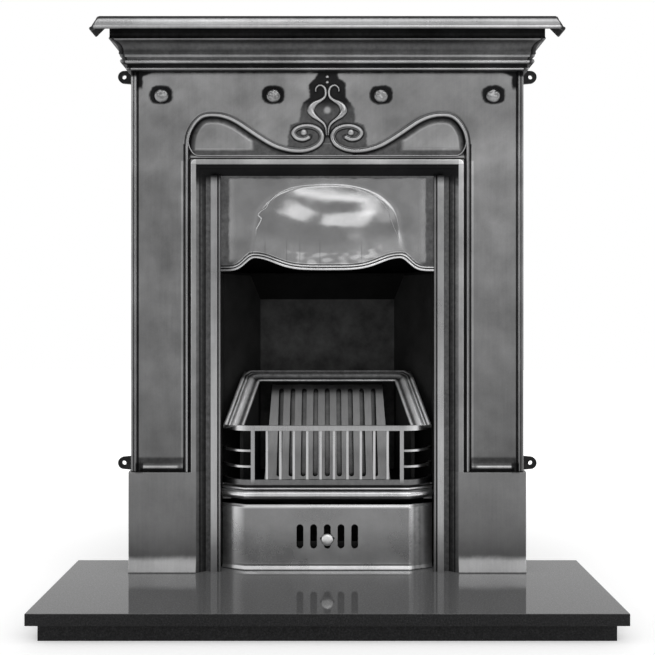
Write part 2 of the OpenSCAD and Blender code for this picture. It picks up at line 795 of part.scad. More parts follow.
module basket_rim() {
    color(iron) on_hearth() translate([0, rim_front_y, rail_top]) rotate([rim_angle, 0, 0])
        for (k = [0:2]) linear_extrude((k + 1) * rim_step) rim_outline(rim_w * (3 - k) / 3);
}

side_t = 8;
side_front = -57;
side_x_front = rim_hw - rim_w;
side_x_back = rim_hw_back - 0.8 * rim_w;

// A plate from the grate bed up to the rim's underside
module basket_side() {
    color(black_iron) intersection() {
        translate([0, 0, bed_top]) linear_extrude(300) polygon([
            [side_x_front + 1, side_front], [side_x_back + 1, rim_back_y],
            [side_x_back + 1 + side_t, rim_back_y], [side_x_front + 1 + side_t, side_front]]);
        run_x(fire_hw) polygon([[side_front - 1, bed_top - 1], [rim_back_y + 1, bed_top - 1],
            [rim_back_y + 1, rim_z(rim_back_y + 1) - seat], [side_front - 1, rim_z(side_front - 1) - seat]]);
    }
}

module basket_side_left() {
    on_hearth() mirror([1, 0, 0]) basket_side();
}

module basket_side_right() {
    on_hearth() basket_side();
}

grate_top = [82, 423];          // y and z of the back grate's upper edge
grate_foot = [-55, bed_top];
grate_angle = atan((grate_top.y - grate_foot.y) / (grate_top.x - grate_foot.x));
grate_len = norm(grate_top - grate_foot);
grate_hw_low = slot_count * slot_pitch / 2 + 20;
grate_hw_top = grate_hw_low - 11;
grate_t = 10;

module back_grate() {
    slot_low = 24;
    slot_high = grate_len - 16;
    color(iron) on_hearth() difference() {
        translate([0, grate_foot.x, grate_foot.y]) rotate([grate_angle, 0, 0]) translate([0, 0, -grate_t])
            linear_extrude(grate_t) difference() {
                polygon([[-grate_hw_low, 0], [grate_hw_low, 0], [grate_hw_top, grate_len],
                    [-grate_hw_top, grate_len]]);
                for (k = [0:slot_count - 1]) translate([(k - (slot_count - 1) / 2) * slot_pitch, 0]) {
                    translate([-slot_w / 2, slot_low]) square([slot_w, slot_high - slot_low]);
                    for (s = [slot_low, slot_high]) translate([0, s]) circle(d = slot_w);
                }
            }
        box([-fire_hw, grate_foot.x - 50, bed_top - 50], [fire_hw, 150, bed_top]);
    }
}

// Narrow hob between the rim's back and the fireback, resting on the back grate's top
module basket_ledge() {
    color(black_iron) on_hearth() {
        translate([0, 0, rim_back_z - 8]) linear_extrude(8) polygon([
            [-cheek_x(rim_back_y) + 1, rim_back_y], [cheek_x(rim_back_y) - 1, rim_back_y],
            [cheek_x(fireback_y) - 1, fireback_y], [-cheek_x(fireback_y) + 1, fireback_y]]);
        box([-grate_hw_top, grate_top.x - 2, grate_top.y], [grate_hw_top, grate_top.x + 6, rim_back_z - 8 + eps]);
    }
}

module grate_bed() {
    color(black_iron) on_hearth() difference() {
        box([-lining_hw - cheek_t, side_front, bed_top - bed_t], [lining_hw + cheek_t, fireback_y, bed_top]);
        box([-pan_hw + 10, side_front + 17, bed_top - bed_t - 1], [pan_hw - 10, fireback_y - 22, bed_top + 1]);
    }
}

bars_y = face + 19;             // front of the bars
bars_hw = 180;                  // where the rails begin to curve back
wing_r = lining_hw - gap - bars_hw;
end_bar_x = 175;
end_bar_w = 9;
wing_h = 5;

// A rail across the front that curves back to the cheeks
module rail(low, high) {
    box([-bars_hw, bars_y, low], [bars_hw, bars_y + rail_d, high]);
    wings(low, high);
}

module wings(low, high) {
    both_sides() translate([bars_hw, bars_y + wing_r, low]) rotate([0, 0, -90])
        rotate_extrude(angle = 90) translate([wing_r - rail_d, 0]) square([rail_d, high - low]);
}

module front_bars() {
    pitch_z = (rail_top - rail_foot) / 3.4;
    color(iron) on_hearth() {
        rail(rail_foot, rail_foot + rail_h);
        rail(rail_top - rail_h, rail_top);
        for (z = [rail_foot + 0.99 * pitch_z, rail_foot + 1.9 * pitch_z]) {
            wings(z, z + wing_h);
            both_sides() box([end_bar_x, bars_y + 1, z], [bars_hw + eps, bars_y + rail_d, z + wing_h]);
        }
        for (k = [0:bar_count - 1]) translate([(k - (bar_count - 1) / 2) * bar_pitch, 0, 0])
            box([-bar_w / 2, bars_y + 0.5, rail_foot + 1], [bar_w / 2, bars_y + rail_d - 0.5, rail_top - 1]);
        both_sides() box([end_bar_x - end_bar_w / 2, bars_y - 1, rail_foot + 1],
            [end_bar_x + end_bar_w / 2, bars_y + rail_d, rail_top - 1]);
    }
}

rest_facet = 191;       // half width of the moulded ledge's front facet
rest_back = 29;         // how far its ends stand back
rest_low = cover_h + 9;
rest_hw = fire_hw - 0.6;
bead_big = 13;

module bar_rest() {
    y0 = bars_y + 6;
    turn = atan(rest_back / (rest_hw - rest_facet));
    bead_z = rest_low + 3 + bead_big;
    color(iron) on_hearth() intersection() {
        union() {
            translate([0, 0, rest_low]) linear_extrude(rail_foot - rest_low) polygon([
                [-rest_hw, y0 + rest_back - 6], [-rest_facet, y0 - 6], [rest_facet, y0 - 6],
                [rest_hw, y0 + rest_back - 6], [rest_hw, side_front], [-rest_hw, side_front]]);
            translate([-rest_facet, y0 - 4, bead_z]) rotate([0, 90, 0]) cylinder(r = bead_big, h = 2 * rest_facet);
            both_sides() translate([rest_facet, y0 - 4, bead_z]) {
                sphere(r = bead_big - 0.2);
                rotate([0, 90, turn]) cylinder(r = bead_big, h = 80);
            }
        }
        box([-rest_hw, face - 20, rest_low], [rest_hw, side_front, rail_foot]);
    }
}

// ---------------------------------------------------------------- ash pit

base_t = 8;
base_front = -50;

module base_plate() {
    color(black_iron) on_hearth() box([-lining_hw - cheek_t, base_front, 0],
        [lining_hw + cheek_t, fireback_back, base_t]);
}

module ashpit_wall() {
    color(black_iron) {
        box([lining_hw, frame_back, base_t], [lining_hw + cheek_t, fireback_y, bed_top - bed_t]);
    }
}

module ashpit_wall_left() {
    on_hearth() mirror([1, 0, 0]) ashpit_wall();
}

module ashpit_wall_right() {
    on_hearth() ashpit_wall();
}

cover_hw = fire_hw - 1;
slider_t = 3;
slider_margin = 9;
slider_h = air_h + 2 * slider_margin;
slider_hw = (air_count - 1) / 2 * air_pitch + air_w / 2 + slider_travel + 8;
neck_r = 3;
neck_slot_hw = slider_travel + neck_r + gap + 0.2;
knob_z = air_z - 5;

module long_hole(width, height) {
    r = min(width, height) / 2;
    dx = width / 2 - r;
    dz = height / 2 - r;
    translate([-max(dx, 0.01), -height / 2 + (dz > 0 ? r : 0)])
        square([2 * max(dx, 0.01), height - (dz > 0 ? 2 * r : 0)]);
    translate([-width / 2 + (dx > 0 ? r : 0), -max(dz, 0.01)])
        square([width - (dx > 0 ? 2 * r : 0), 2 * max(dz, 0.01)]);
    for (s = [-1, 1]) translate([s * dx, s * dz]) circle(r = r);
}

module air_slots(width, height) {
    for (k = [0:air_count - 1]) translate([(k - (air_count - 1) / 2) * air_pitch, air_z])
        long_hole(width, height);
}

// The cover's plan: a front facet and two facets that stand back
module cover_plan(front, back) {
    polygon([[-cover_hw, front + cover_back], [-cover_facet, front], [cover_facet, front],
        [cover_hw, front + cover_back], [cover_hw, back + cover_back], [cover_facet, back],
        [-cover_facet, back], [-cover_hw, back + cover_back]]);
}

module ash_cover() {
    front = -cover_y;
    back = front + cover_t;
    lip_out = 3;
    guide_x = slider_hw + slider_travel;
    color(iron) on_hearth() difference() {
        union() {
            translate([0, 0, gap]) linear_extrude(cover_h - gap) cover_plan(front, back);
            translate([0, 0, gap]) linear_extrude(9) cover_plan(front - lip_out, back);
            translate([0, 0, cover_h - 6]) linear_extrude(4) cover_plan(front - 1.5, back);
            // guides behind the cover that hold the air slider
            for (s = [-1, 1]) translate([0, 0, air_z]) {
                z_near = s * (slider_h / 2 + gap);
                z_far = s * (slider_h / 2 + gap + 4);
                z_lip = s * (slider_h / 2 - 4);
                box([-guide_x, back - eps, min(z_near, z_far)],
                    [guide_x, back + slider_t + 3 + 2 * gap, max(z_near, z_far)]);
                box([-guide_x, back + slider_t + 2 * gap, min(z_lip, z_far)],
                    [guide_x, back + slider_t + 3 + 2 * gap, max(z_lip, z_far)]);
            }
        }
        upright(front - 10, back + 1) {
            air_slots(air_w, air_h);
            translate([0, knob_z]) long_hole(2 * neck_slot_hw, 2 * neck_r + 1);
        }
    }
}

module air_slider() {
    front = -cover_y + cover_t + gap;
    color(black_iron) on_hearth() upright(front, front + slider_t) difference() {
        translate([-slider_hw, air_z - slider_h / 2]) square([2 * slider_hw, slider_h]);
        for (k = [0:air_count - 1]) if (k != (air_count - 1) / 2)
            translate([(k - (air_count - 1) / 2) * air_pitch, air_z]) long_hole(air_w - 2, air_h - 2);
        translate([0, air_z + air_h / 4 + 4]) long_hole(air_w - 2, air_h / 2 - 12);
        translate([0, knob_z - air_h / 4 - 4]) long_hole(air_w - 2, air_h / 2 - 14);
    }
}

module slider_knob() {
    knob_gap = 1;
    neck = cover_t + gap + knob_gap;
    r = knob_d / 2;
    color(bright) on_hearth() translate([0, -cover_y + cover_t + gap, knob_z]) rotate([90, 0, 0])
        rotate_extrude($fn = 64) {
            square([neck_r, neck + eps]);
            translate([0, neck]) square([r, 3]);
            translate([0, neck + 3]) intersection() {
                circle(r = r);
                square([r, r]);
            }
        }
}

pan_front = -48;
pan_back = fireback_y - 25;

module ashpan() {
    low = base_t + gap;
    color([0.25, 0.25, 0.26]) on_hearth() difference() {
        box([-pan_hw, pan_front, low], [pan_hw, pan_back, low + pan_h]);
        box([-pan_hw + pan_t, pan_front + pan_t, low + pan_t], [pan_hw - pan_t, pan_back - pan_t, low + pan_h + 1]);
    }
}

module ashpan_handle() {
    z = base_t + gap + pan_h * 0.6;
    reach = 14;
    bar = 6;
    color(black_iron) on_hearth() {
        box([-40, pan_front - reach, z], [40, pan_front - reach + bar, z + bar]);
        both_sides() box([40 - bar, pan_front - reach, z], [40, pan_front, z + bar]);
    }
}

// ---------------------------------------------------------------- pieces

hearth_slab();
hearth_front_riser();
hearth_left_riser();
hearth_right_riser();
hearth_back_riser();
front_casting();
cornice();
cornice_bolts();
cornice_nuts();
mantel_shelf();
shelf_bolts();
insert_frame();
frame_bolts();
hood();
hood_bolts();
cheek_left();
cheek_right();
fireback();
smoke_chamber();
damper_flap();
damper_pin();
basket_rim();
basket_side_left();
basket_side_right();
basket_ledge();
back_grate();
grate_bed();
front_bars();
bar_rest();
base_plate();
ashpit_wall_left();
ashpit_wall_right();
ash_cover();
air_slider();
slider_knob();
ashpan();
ashpan_handle();
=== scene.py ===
import json
import math

import bmesh
import bpy
import numpy as np
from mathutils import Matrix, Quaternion, Vector, noise


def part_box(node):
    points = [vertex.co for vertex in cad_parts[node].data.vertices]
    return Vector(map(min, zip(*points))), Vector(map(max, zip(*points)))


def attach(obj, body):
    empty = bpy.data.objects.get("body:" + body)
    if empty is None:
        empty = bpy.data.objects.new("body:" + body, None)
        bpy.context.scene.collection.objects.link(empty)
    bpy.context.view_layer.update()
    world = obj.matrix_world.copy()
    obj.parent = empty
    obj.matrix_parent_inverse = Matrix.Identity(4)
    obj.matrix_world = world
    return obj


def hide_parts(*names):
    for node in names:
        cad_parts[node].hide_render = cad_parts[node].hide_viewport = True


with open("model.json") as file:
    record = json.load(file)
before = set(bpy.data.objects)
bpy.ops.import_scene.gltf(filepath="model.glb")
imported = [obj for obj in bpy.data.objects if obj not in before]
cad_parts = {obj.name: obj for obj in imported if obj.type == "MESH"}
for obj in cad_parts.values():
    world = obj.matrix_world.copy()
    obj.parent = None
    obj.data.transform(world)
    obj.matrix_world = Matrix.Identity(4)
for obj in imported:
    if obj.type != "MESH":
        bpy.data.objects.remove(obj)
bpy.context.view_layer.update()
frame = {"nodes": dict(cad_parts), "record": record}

# A cast iron combination fireplace on a boxed granite hearth.
# Sizes are in millimetres in the fireplace's own frame: the wall plane at y = 0, the room towards -y,
# and the hearth's top at z = 0. place() turns them into metres in the shared frame.

MM = 0.001
ORIGIN = Vector((0.0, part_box("hearth_slab")[1].y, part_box("hearth_slab")[1].z))


def place(points):
    """Points in the fireplace's own frame, in millimetres, as metres in the shared frame."""
    return np.asarray(points, float) * MM + np.array(ORIGIN)


def box_mm(node):
    """Lowest and highest corners of a CAD node in the fireplace's own frame, in millimetres."""
    return tuple((corner - ORIGIN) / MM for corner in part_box(node))


# ---------------------------------------------------------------- numbers that shape the surfaces

def smooth(low, high, t):
    """0 below low, 1 above high, and a smooth step between."""
    u = np.clip((np.asarray(t, float) - low) / (high - low), 0.0, 1.0)
    return u * u * (3.0 - 2.0 * u)


def ridge(distance, half_width, height):
    """A half-round ridge's height at a distance from its middle line."""
    u = np.clip(np.abs(distance) / half_width, 0.0, 1.0)
    return height * np.sqrt(1.0 - u * u)


def between(t, low, high, blend):
    """1 between low and high, falling smoothly to 0 over the blend outside them."""
    return smooth(low - blend, low, t) * (1.0 - smooth(high, high + blend, t))


def spline(points, steps):
    """A smooth curve through the points."""
    p = [np.array(q, float) for q in points]
    p = [p[0]] + p + [p[-1]]
    curve = []
    for k in range(1, len(p) - 2):
        a, b, c, d = p[k - 1], p[k], p[k + 1], p[k + 2]
        for s in range(steps):
            f = s / steps
            curve.append(0.5 * (2 * b + (c - a) * f + (2 * a - 5 * b + 4 * c - d) * f * f
                                + (3 * b - a - 3 * c + d) * f ** 3))
    curve.append(p[-2])
    return np.array(curve)


def oval(u, v, power):
    """Distance from the middle of an oval that is squarer the higher its power, 1 on its edge."""
    return (np.abs(u) ** power + np.abs(v) ** power) ** (1 / power)


def curve_distance(x, z, curve):
    """Distance from each x, z to a curve."""
    best = np.full(x.shape, np.inf)
    for a, b in zip(curve, curve[1:]):
        ab = b - a
        t = np.clip(((x - a[0]) * ab[0] + (z - a[1]) * ab[1]) / max(ab @ ab, 1e-9), 0.0, 1.0)
        best = np.minimum(best, np.hypot(x - a[0] - t * ab[0], z - a[1] - t * ab[1]))
    return best


def on_arc(degrees, middle, radii):
    """The point at an angle on an ellipse."""
    a = math.radians(degrees)
    return middle[0] + radii[0] * math.cos(a), middle[1] + radii[1] * math.sin(a)


def cloud(x, z, scale, seed):
    """Soft noise from -1 to 1 over a grid of points, as large as scale millimetres."""
    flat = [noise.noise(Vector((a / scale, b / scale, seed))) for a, b in zip(x.ravel(), z.ravel())]
    return np.array(flat).reshape(x.shape)


# ---------------------------------------------------------------- meshes

def link_piece(name, mesh, material, node, smooth_angle=None, body="fireplace"):
    """A piece that rides a body and takes a CAD node's place; edges sharper than the angle stay sharp."""
    piece = bpy.data.objects.new(name, mesh)
    bpy.context.scene.collection.objects.link(piece)
    mesh.materials.clear()
    mesh.materials.append(MATERIALS[material])
    mesh.polygons.foreach_set("use_smooth", [True] * len(mesh.polygons))
    if smooth_angle is not None:
        mesh.set_sharp_from_angle(angle=math.radians(smooth_angle))
    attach(piece, body)
    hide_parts(node)
    return piece


def set_attribute(mesh, name, values):
    """A number for every point of a mesh."""
    layer = mesh.attributes.new(name, "FLOAT", "POINT")
    layer.data.foreach_set("value", np.asarray(values, np.float32))


def mesh_of(name, points, faces):
    """A mesh from points in millimetres."""
    mesh = bpy.data.meshes.new(name)
    mesh.from_pydata([tuple(p) for p in place(points)], [], [tuple(f) for f in faces])
    mesh.update()
    return mesh


def outward(mesh):
    """Points every face outwards."""
    bm = bmesh.new()
    bm.from_mesh(mesh)
    bmesh.ops.recalc_face_normals(bm, faces=bm.faces)
    bm.to_mesh(mesh)
    bm.free()


def lines(*stretches):
    """Grid lines from stretches of (start, end, step), without doubles."""
    found = []
    for start, end, step in stretches:
        count = max(int(round((end - start) / step)), 1)
        found.extend(start + (end - start) * k / count for k in range(count + 1))
    found = sorted(found)
    kept = [found[0]]
    for value in found[1:]:
        if value - kept[-1] > 0.05:
            kept.append(value)
    return np.array(kept)


def sleeve(rows, n):
    """Faces of a closed sleeve round rows of n points each, with a cap at both ends."""
    faces = [(r * n + k, r * n + (k + 1) % n, (r + 1) * n + (k + 1) % n, (r + 1) * n + k)
             for r in range(rows - 1) for k in range(n)]
    return faces + [tuple(range(n - 1, -1, -1)), tuple((rows - 1) * n + k for k in range(n))]


def joined(parts):
    """Several parts of (points, faces, values for each point ...) as one."""
    faces, offset = [], 0
    for part in parts:
        faces += [tuple(int(i) + offset for i in face) for face in part[1]]
        offset += len(part[0])
    points, _, *values = zip(*parts)
    return (np.vstack(points), faces, *(np.concatenate(v) for v in values))


def mirrored(part):
    """The part on the other side of the middle."""
    points, faces, *values = part
    return (points * np.array([-1, 1, 1]), [tuple(reversed(f)) for f in faces], *values)


def moved_up(section, by):
    """A section of (out, height, polish, tone) moved up."""
    return [(out, height + by, *rest) for out, height, *rest in section]


def graded(part, polish=1.0, tone=1.0):
    """A part of (points, faces, polish, tone) with its polish and tone multiplied."""
    return part[0], part[1], part[2] * polish, part[3] * tone


TONE_LIMIT = 3.7        # a metal's colour stays below white


def add_piece(name, parts, material, node, smooth_angle=35, body="fireplace"):
    """One piece from parts of (points, faces, polish, tone)."""
    points, faces, polish, tone = joined(parts)
    mesh = mesh_of(name, points, faces)
    outward(mesh)
    set_attribute(mesh, "polish", polish)
    set_attribute(mesh, "tone", np.minimum(tone, TONE_LIMIT))
    return link_piece(name, mesh, material, node, smooth_angle, body)


# ---------------------------------------------------------------- materials

class Graph:
    """A node tree with short ways to add nodes; their inputs are numbers, colours or other nodes' outputs."""

    def __init__(self, tree):
        self.nodes, self.links = tree.nodes, tree.links

    def put(self, socket, value):
        """Gives one input its value."""
        if isinstance(value, bpy.types.NodeSocket):
            self.links.new(value, socket)
        else:
            socket.default_value = (*value, 1.0) if socket.type == "RGBA" else value

    def fill(self, node, **settings):
        """Gives a node its settings and inputs by their names, with _ for a space."""
        for key, value in settings.items():
            if key.replace("_", " ") in node.inputs:
                self.put(node.inputs[key.replace("_", " ")], value)
            else:
                setattr(node, key, value)
        return node

    def add(self, kind, **settings):
        return self.fill(self.nodes.new("ShaderNode" + kind), **settings)

    def math(self, operation, a, b, clamp=False):
        node = self.add("Math", operation=operation, use_clamp=clamp)
        self.put(node.inputs[0], a)
        self.put(node.inputs[1], b)
        return node.outputs[0]

    def noise(self, coords, scale, detail, roughness, stretch=None):
        """Noise over object coordinates; stretch squeezes it along x, y and z."""
        if stretch is not None:
            coords = self.add("Mapping", Vector=coords, Scale=stretch).outputs["Vector"]
        return self.add("TexNoise", Vector=coords, Scale=scale, Detail=detail, Roughness=roughness).outputs["Fac"]

    def ramp(self, value, *stops):
        """A colour ramp's colour; stops are (position, colour)."""
        node = self.add("ValToRGB", Fac=value)
        elements = node.color_ramp.elements
        while len(elements) < len(stops):
            elements.new(0.5)
        for element, (position, colour) in zip(elements, stops):
            element.position = position
            element.color = (*colour, 1.0)
        return node.outputs["Color"]

    def mix(self, factor, a, b):
        """Colour a where the factor is 0 and b where it is 1."""
        node = self.add("Mix", data_type="RGBA", Factor=factor)
        self.put(node.inputs[6], a)
        self.put(node.inputs[7], b)
        return node.outputs[2]

    def map_range(self, value, from_low, from_high, to_low=0.0, to_high=1.0):
        return self.add("MapRange", Value=value, From_Min=from_low, From_Max=from_high, To_Min=to_low,
                        To_Max=to_high).outputs["Result"]

    def bump(self, height, strength, distance, **over):
        return self.add("Bump", Height=height, Strength=strength, Distance=distance, **over).outputs["Normal"]

    def open_air(self, distance, low, high, **settings):
        """0 where other surfaces are closer than a distance, rising to 1 in the open."""
        shade = self.add("AmbientOcclusion", Distance=distance, samples=8, **settings)
        return self.map_range(shade.outputs["AO"], low, high)

    def looked_at(self):
        """1 on camera and transmission rays, and 1 on glossy rays."""
        path = self.add("LightPath").outputs
        return self.math("MAXIMUM", path["Is Camera Ray"], path["Is Transmission Ray"]), path["Is Glossy Ray"]


def new_material(name):
    """A material with its graph, its shader node and the object's own coordinates."""
    material = bpy.data.materials.new(name)
    material.use_nodes = True
    graph = Graph(material.node_tree)
    return material, graph, graph.nodes["Principled BSDF"], graph.add("TexCoord").outputs["Object"]


def times(colour, factor):
    return tuple(c * factor for c in colour)


BLACK = (0.0085, 0.0085, 0.0088)
POLISHED = (0.19, 0.19, 0.191)
SPECK_SHARE = 0.18      # the fine grain's share of the metal's unevenness


def polished_iron(name, base=POLISHED, shine=0.36, occlusion=None, grain=1.0, strokes_share=0.22):
    """Cast iron, black from the foundry and polished by hand.

    The vertex attribute polish says how far a place was polished and tone how light it is; both also carry painted
    light and shade. With occlusion given there are no attributes: the metal is polished where nothing else is
    closer than that, and black where others are close, which is painted shade as well as unpolished metal."""
    material, graph, shader, coords = new_material(name)
    if occlusion is None:
        mask = graph.add("Attribute", attribute_name="polish").outputs["Fac"]
        # the raggedness only moves the border between polished and unpolished metal
        ragged = graph.noise(coords, 95.0, 5.0, 0.65)
        border = graph.math("MULTIPLY", mask, graph.math("SUBTRACT", 1.0, mask))
        swing = graph.math("MULTIPLY", graph.math("SUBTRACT", ragged, 0.5), 2.4)
        polish_and_shade = graph.math("ADD", mask, graph.math("MULTIPLY", border, swing), clamp=True)
    else:
        # painted shade: black where other surfaces are close
        polish_and_shade = graph.open_air(occlusion, 0.30, 0.80, only_local=True)
    # cloudy tone, vertical strokes of the polishing wheel, and fine grain
    cloudy = graph.noise(coords, 7.0, 5.0, 0.6)
    strokes = graph.noise(coords, 60.0, 4.0, 0.6, stretch=(3.0, 1.0, 0.16))
    speck = graph.noise(coords, 420.0, 3.0, 0.7)
    tone = graph.math("MULTIPLY", cloudy, 1.0 - SPECK_SHARE - strokes_share)
    tone = graph.math("ADD", tone, graph.math("MULTIPLY", strokes, strokes_share))
    tone = graph.math("ADD", tone, graph.math("MULTIPLY", speck, SPECK_SHARE))
    metal = graph.ramp(tone, (0.36, times(base, 0.80)), (0.64, times(base, 1.20)))
    if occlusion is None:
        lift = graph.add("Attribute", attribute_name="tone").outputs["Fac"]
        metal = graph.add("VectorMath", operation="SCALE", Vector=metal, Scale=lift).outputs["Vector"]
    # the unpolished black, which also stands in for painted shade
    patina_and_shade = graph.ramp(cloudy, (0.35, BLACK), (0.75, times(BLACK, 2.2)))
    rough = graph.map_range(polish_and_shade, 0.0, 1.0, 0.60, shine)
    uneven = graph.math("MULTIPLY", graph.math("SUBTRACT", cloudy, 0.5), 0.30)
    # hand-finished castings are never quite flat
    waves = graph.bump(graph.noise(coords, 11.0, 2.0, 0.5), 0.5 * grain, 0.0012)
    pits = graph.bump(graph.noise(coords, 900.0, 3.0, 0.7), 0.12 * grain, 0.0002, Normal=waves)
    graph.fill(shader, Base_Color=graph.mix(polish_and_shade, patina_and_shade, metal), Metallic=1.0,
               Roughness=graph.math("ADD", rough, uneven, clamp=True), Normal=pits)
    return material


def rough_iron(name, base, roughness=0.62, bump=0.5, scale=300.0, metallic=0.6, level=0.5, mottle=1.0, closed=None):
    """Unpolished black iron with a sandy cast surface; closed paints shade, darkening places with others closer
    than that.
    """
    material, graph, shader, coords = new_material(name)
    mottled = graph.noise(coords, 14.0, 6.0, 0.65)
    colour = graph.ramp(mottled, (0.3, times(base, 1 - 0.45 * mottle)), (0.7, times(base, 1 + 0.5 * mottle)))
    if closed is not None:
        # painted shade where other surfaces are close
        colour = graph.mix(graph.open_air(closed, 0.40, 0.72), BLACK, colour)
    sand = graph.noise(coords, scale, 4.0, 0.7)
    graph.fill(shader, Base_Color=colour, Metallic=metallic, Specular_IOR_Level=level,
               Roughness=graph.map_range(mottled, 0.0, 1.0, roughness - 0.1, roughness + 0.12),
               Normal=graph.bump(sand, bump, 0.0006))
    return material


def granite_material(name, base, roughness, sparkle, level):
    """Black granite with fine paler grains."""
    material, graph, shader, coords = new_material(name)
    grains = graph.add("TexVoronoi", Vector=coords, Scale=700.0).outputs["Distance"]
    blotches = graph.noise(coords, 320.0, 5.0, 0.75)
    colour = graph.ramp(blotches, (0.40, base), (0.58, times(base, 1 + sparkle)),
                        (0.72, times(base, 1 + 3 * sparkle)))
    flecks = graph.math("MULTIPLY", grains, roughness)
    graph.fill(shader, Base_Color=colour, Roughness=graph.math("ADD", flecks, roughness), IOR=1.5,
               Specular_IOR_Level=level)
    return material


MATERIALS = {
    "front": polished_iron("Polished_front_iron", strokes_share=0.14),
    "moulding": polished_iron("Polished_moulding_iron", (0.215, 0.215, 0.217), 0.30),
    "hood": polished_iron("Polished_hood_iron", (0.25, 0.25, 0.252), 0.17, strokes_share=0.05),
    "cover": polished_iron("Polished_cover_iron", (0.24, 0.24, 0.242), 0.30, grain=0.4, strokes_share=0.05),
    # small, grate and knob get painted shade, as black, where other surfaces are close
    "small": polished_iron("Polished_small_iron", (0.22, 0.22, 0.222), occlusion=0.012),
    "grate": polished_iron("Burnished_grate_iron", (0.19, 0.19, 0.191), 0.45, occlusion=0.006),
    "rim": polished_iron("Polished_rim_iron", (0.225, 0.225, 0.227), 0.50, grain=0.7),
    "knob": polished_iron("Turned_knob", (0.78, 0.78, 0.78), 0.42, occlusion=0.003, grain=0.2, strokes_share=0.0),
    # the brick gets painted shade where the grate is close in front of it
    "brick": rough_iron("Grate_brick", (0.17, 0.17, 0.17), 0.9, 0.6, 90.0, 0.0, 0.2, closed=0.011),
    "black": rough_iron("Black_iron", (0.0075, 0.0075, 0.0078), metallic=0.0, level=0.25),
    "soot": rough_iron("Sooty_iron", (0.0040, 0.0040, 0.0040), 0.8, metallic=0.0, level=0.06),
    "lining": rough_iron("Lining_iron", (0.0125, 0.0125, 0.0125), 0.75, 0.8, 220.0, 0.0, 0.16),
    "fireback": rough_iron("Fireback_stone", (0.036, 0.036, 0.036), 0.85, 1.6, 60.0, 0.0, 0.2, 1.5),
    "fixing": rough_iron("Plain_steel", (0.22, 0.22, 0.225), 0.4, 0.2, 500.0, 1.0),
    "pan": rough_iron("Painted_pan", (0.03, 0.03, 0.03), 0.4, 0.2, 200.0, 0.0),
    "granite": granite_material("Polished_granite", (0.084, 0.084, 0.085), 0.009, 0.4, 0.31),
    "honed": granite_material("Honed_granite_edge", (0.0085, 0.0085, 0.0088), 0.35, 1.6, 0.12),
}

SLOT_MATERIALS = {
    "polished_iron": "small", "grate_iron": "grate", "black_iron": "soot", "fireback": "fireback",
    "fixings": "fixing", "knob_steel": "knob", "pan_steel": "pan", "granite": "honed"}
LINING = ("cheek_left", "cheek_right", "basket_side_left", "basket_side_right", "ashpit_wall_left",
          "ashpit_wall_right")


def dress_nodes():
    """Gives every CAD node the material of its slot."""
    slots = {row["node"]: row["material_slot"] for row in frame["record"]["subparts"]}
    for name, node in frame["nodes"].items():
        material = MATERIALS["lining" if name in LINING else SLOT_MATERIALS[slots[name]]]
        node.data.materials.clear()
        node.data.materials.append(material)


# ---------------------------------------------------------------- front casting

PLINTH_FACE, PANEL_FACE, CASTING_BACK = -106.0, -99.0, -90.0     # planes across the front, in y
BODY_HALF, PLINTH_HALF, PLINTH_TOP = 458.0, 463.0, 235.0
BODY_TOP = box_mm("cornice")[0].z
OPENING_HALF, OPENING_TOP = 285.0, 926.0
BAND_IN, BAND_OUT, BAND_CORNER = 306.0, 318.0, 10.0
BAND_BASE, BAND_TOP = 951.0, 963.0
LEDGE_Z, LEDGE_HALF = 971.5, 305.0      # the line above the frame band
LINE_X = 327.5                          # the thin line beside the frame band
EDGE_BEADS = ((454.5, 3.4, 3.6), (447.5, 3.6, 4.4))     # down the body's sides: x, half width and height
FOOT_SPAN = (336.0, 436.0)              # the moulded foot of each side panel, in x
# The cove from the frame band to the opening: share of its width, with the share of its depth and its polish
COVE_DROP = ([0, 0.05, 0.14, 0.38, 0.44, 0.50, 0.70, 1.0], [0, 0.02, 0.12, 0.30, 0.44, 0.47, 0.66, 0.95])
COVE_POLISH = ([0, 0.1, 0.30, 0.40, 0.46, 0.52, 0.60, 0.90, 1.0],
               [0.9, 0.66, 0.50, 0.05, 0.05, 0.44, 0.26, 0.16, 0.05])
PANEL_TONE = ([240, 420, 620, 800, 1000, 1168], [0.60, 0.74, 1.02, 1.12, 1.22, 1.22])     # by height, as painted shade: darker towards the bottom

# Left half of the whiplash line, from the loop above the frame's corner to the scroll at the middle
WHIPLASH = [(-326, 1008), (-321, 1028), (-307, 1051), (-287, 1065), (-258, 1067), (-234, 1062), (-212, 1052),
            (-189, 1037), (-167, 1022), (-145, 1008), (-123, 996), (-100, 988), (-78, 984), (-56, 984),
            (-36, 989), (-19, 1000), (-12, 1016), (-18, 1031), (-35, 1040), (-56, 1041), (-74, 1034),
            (-79, 1024), (-71, 1013), (-56, 1010), (-42, 1016)]
SWEEP_POINTS = 16       # of the whiplash's points, those before it curls back
# From the ledge line up into the loop
LOOP_FOOT = [(-LEDGE_HALF + 14, LEDGE_Z), (-LEDGE_HALF, LEDGE_Z + 1), (-314, 979), (-321, 991), (-325, 1006)]
# Left half of the bud above the scrolls, from its curled tip down, each point with the line's width
BUD = [(-27, 1121, 3.5), (-26, 1130, 4.5), (-17, 1136, 5.5), (-7, 1131, 6.5), (-3.8, 1120, 7), (-6, 1109, 7.5),
       (-15, 1101, 9), (-27, 1095, 14), (-36, 1086, 19), (-38, 1076, 19.5), (-31, 1065, 15), (-20, 1056, 9),
       (-9, 1047, 7.5), (-3.8, 1037, 6), (-2, 1019, 3)]
SCROLL_EYE = (-55, 1026)
BUD_MIDDLE = 1078.0
BOSS_X, BOSS_Z = (125.6, 387.0), 1112.0
# The unpolished ground round the bud and the scrolls: height and half width
GROUND = ([985, 1000, 1022, 1044, 1050, 1066, 1081, 1096, 1108, 1124, 1137, 1146, 1152, 1163, 1168],
          [96, 92, 92, 86, 66, 63, 62, 54, 42, 42, 44, 38, 28, 22, 40])


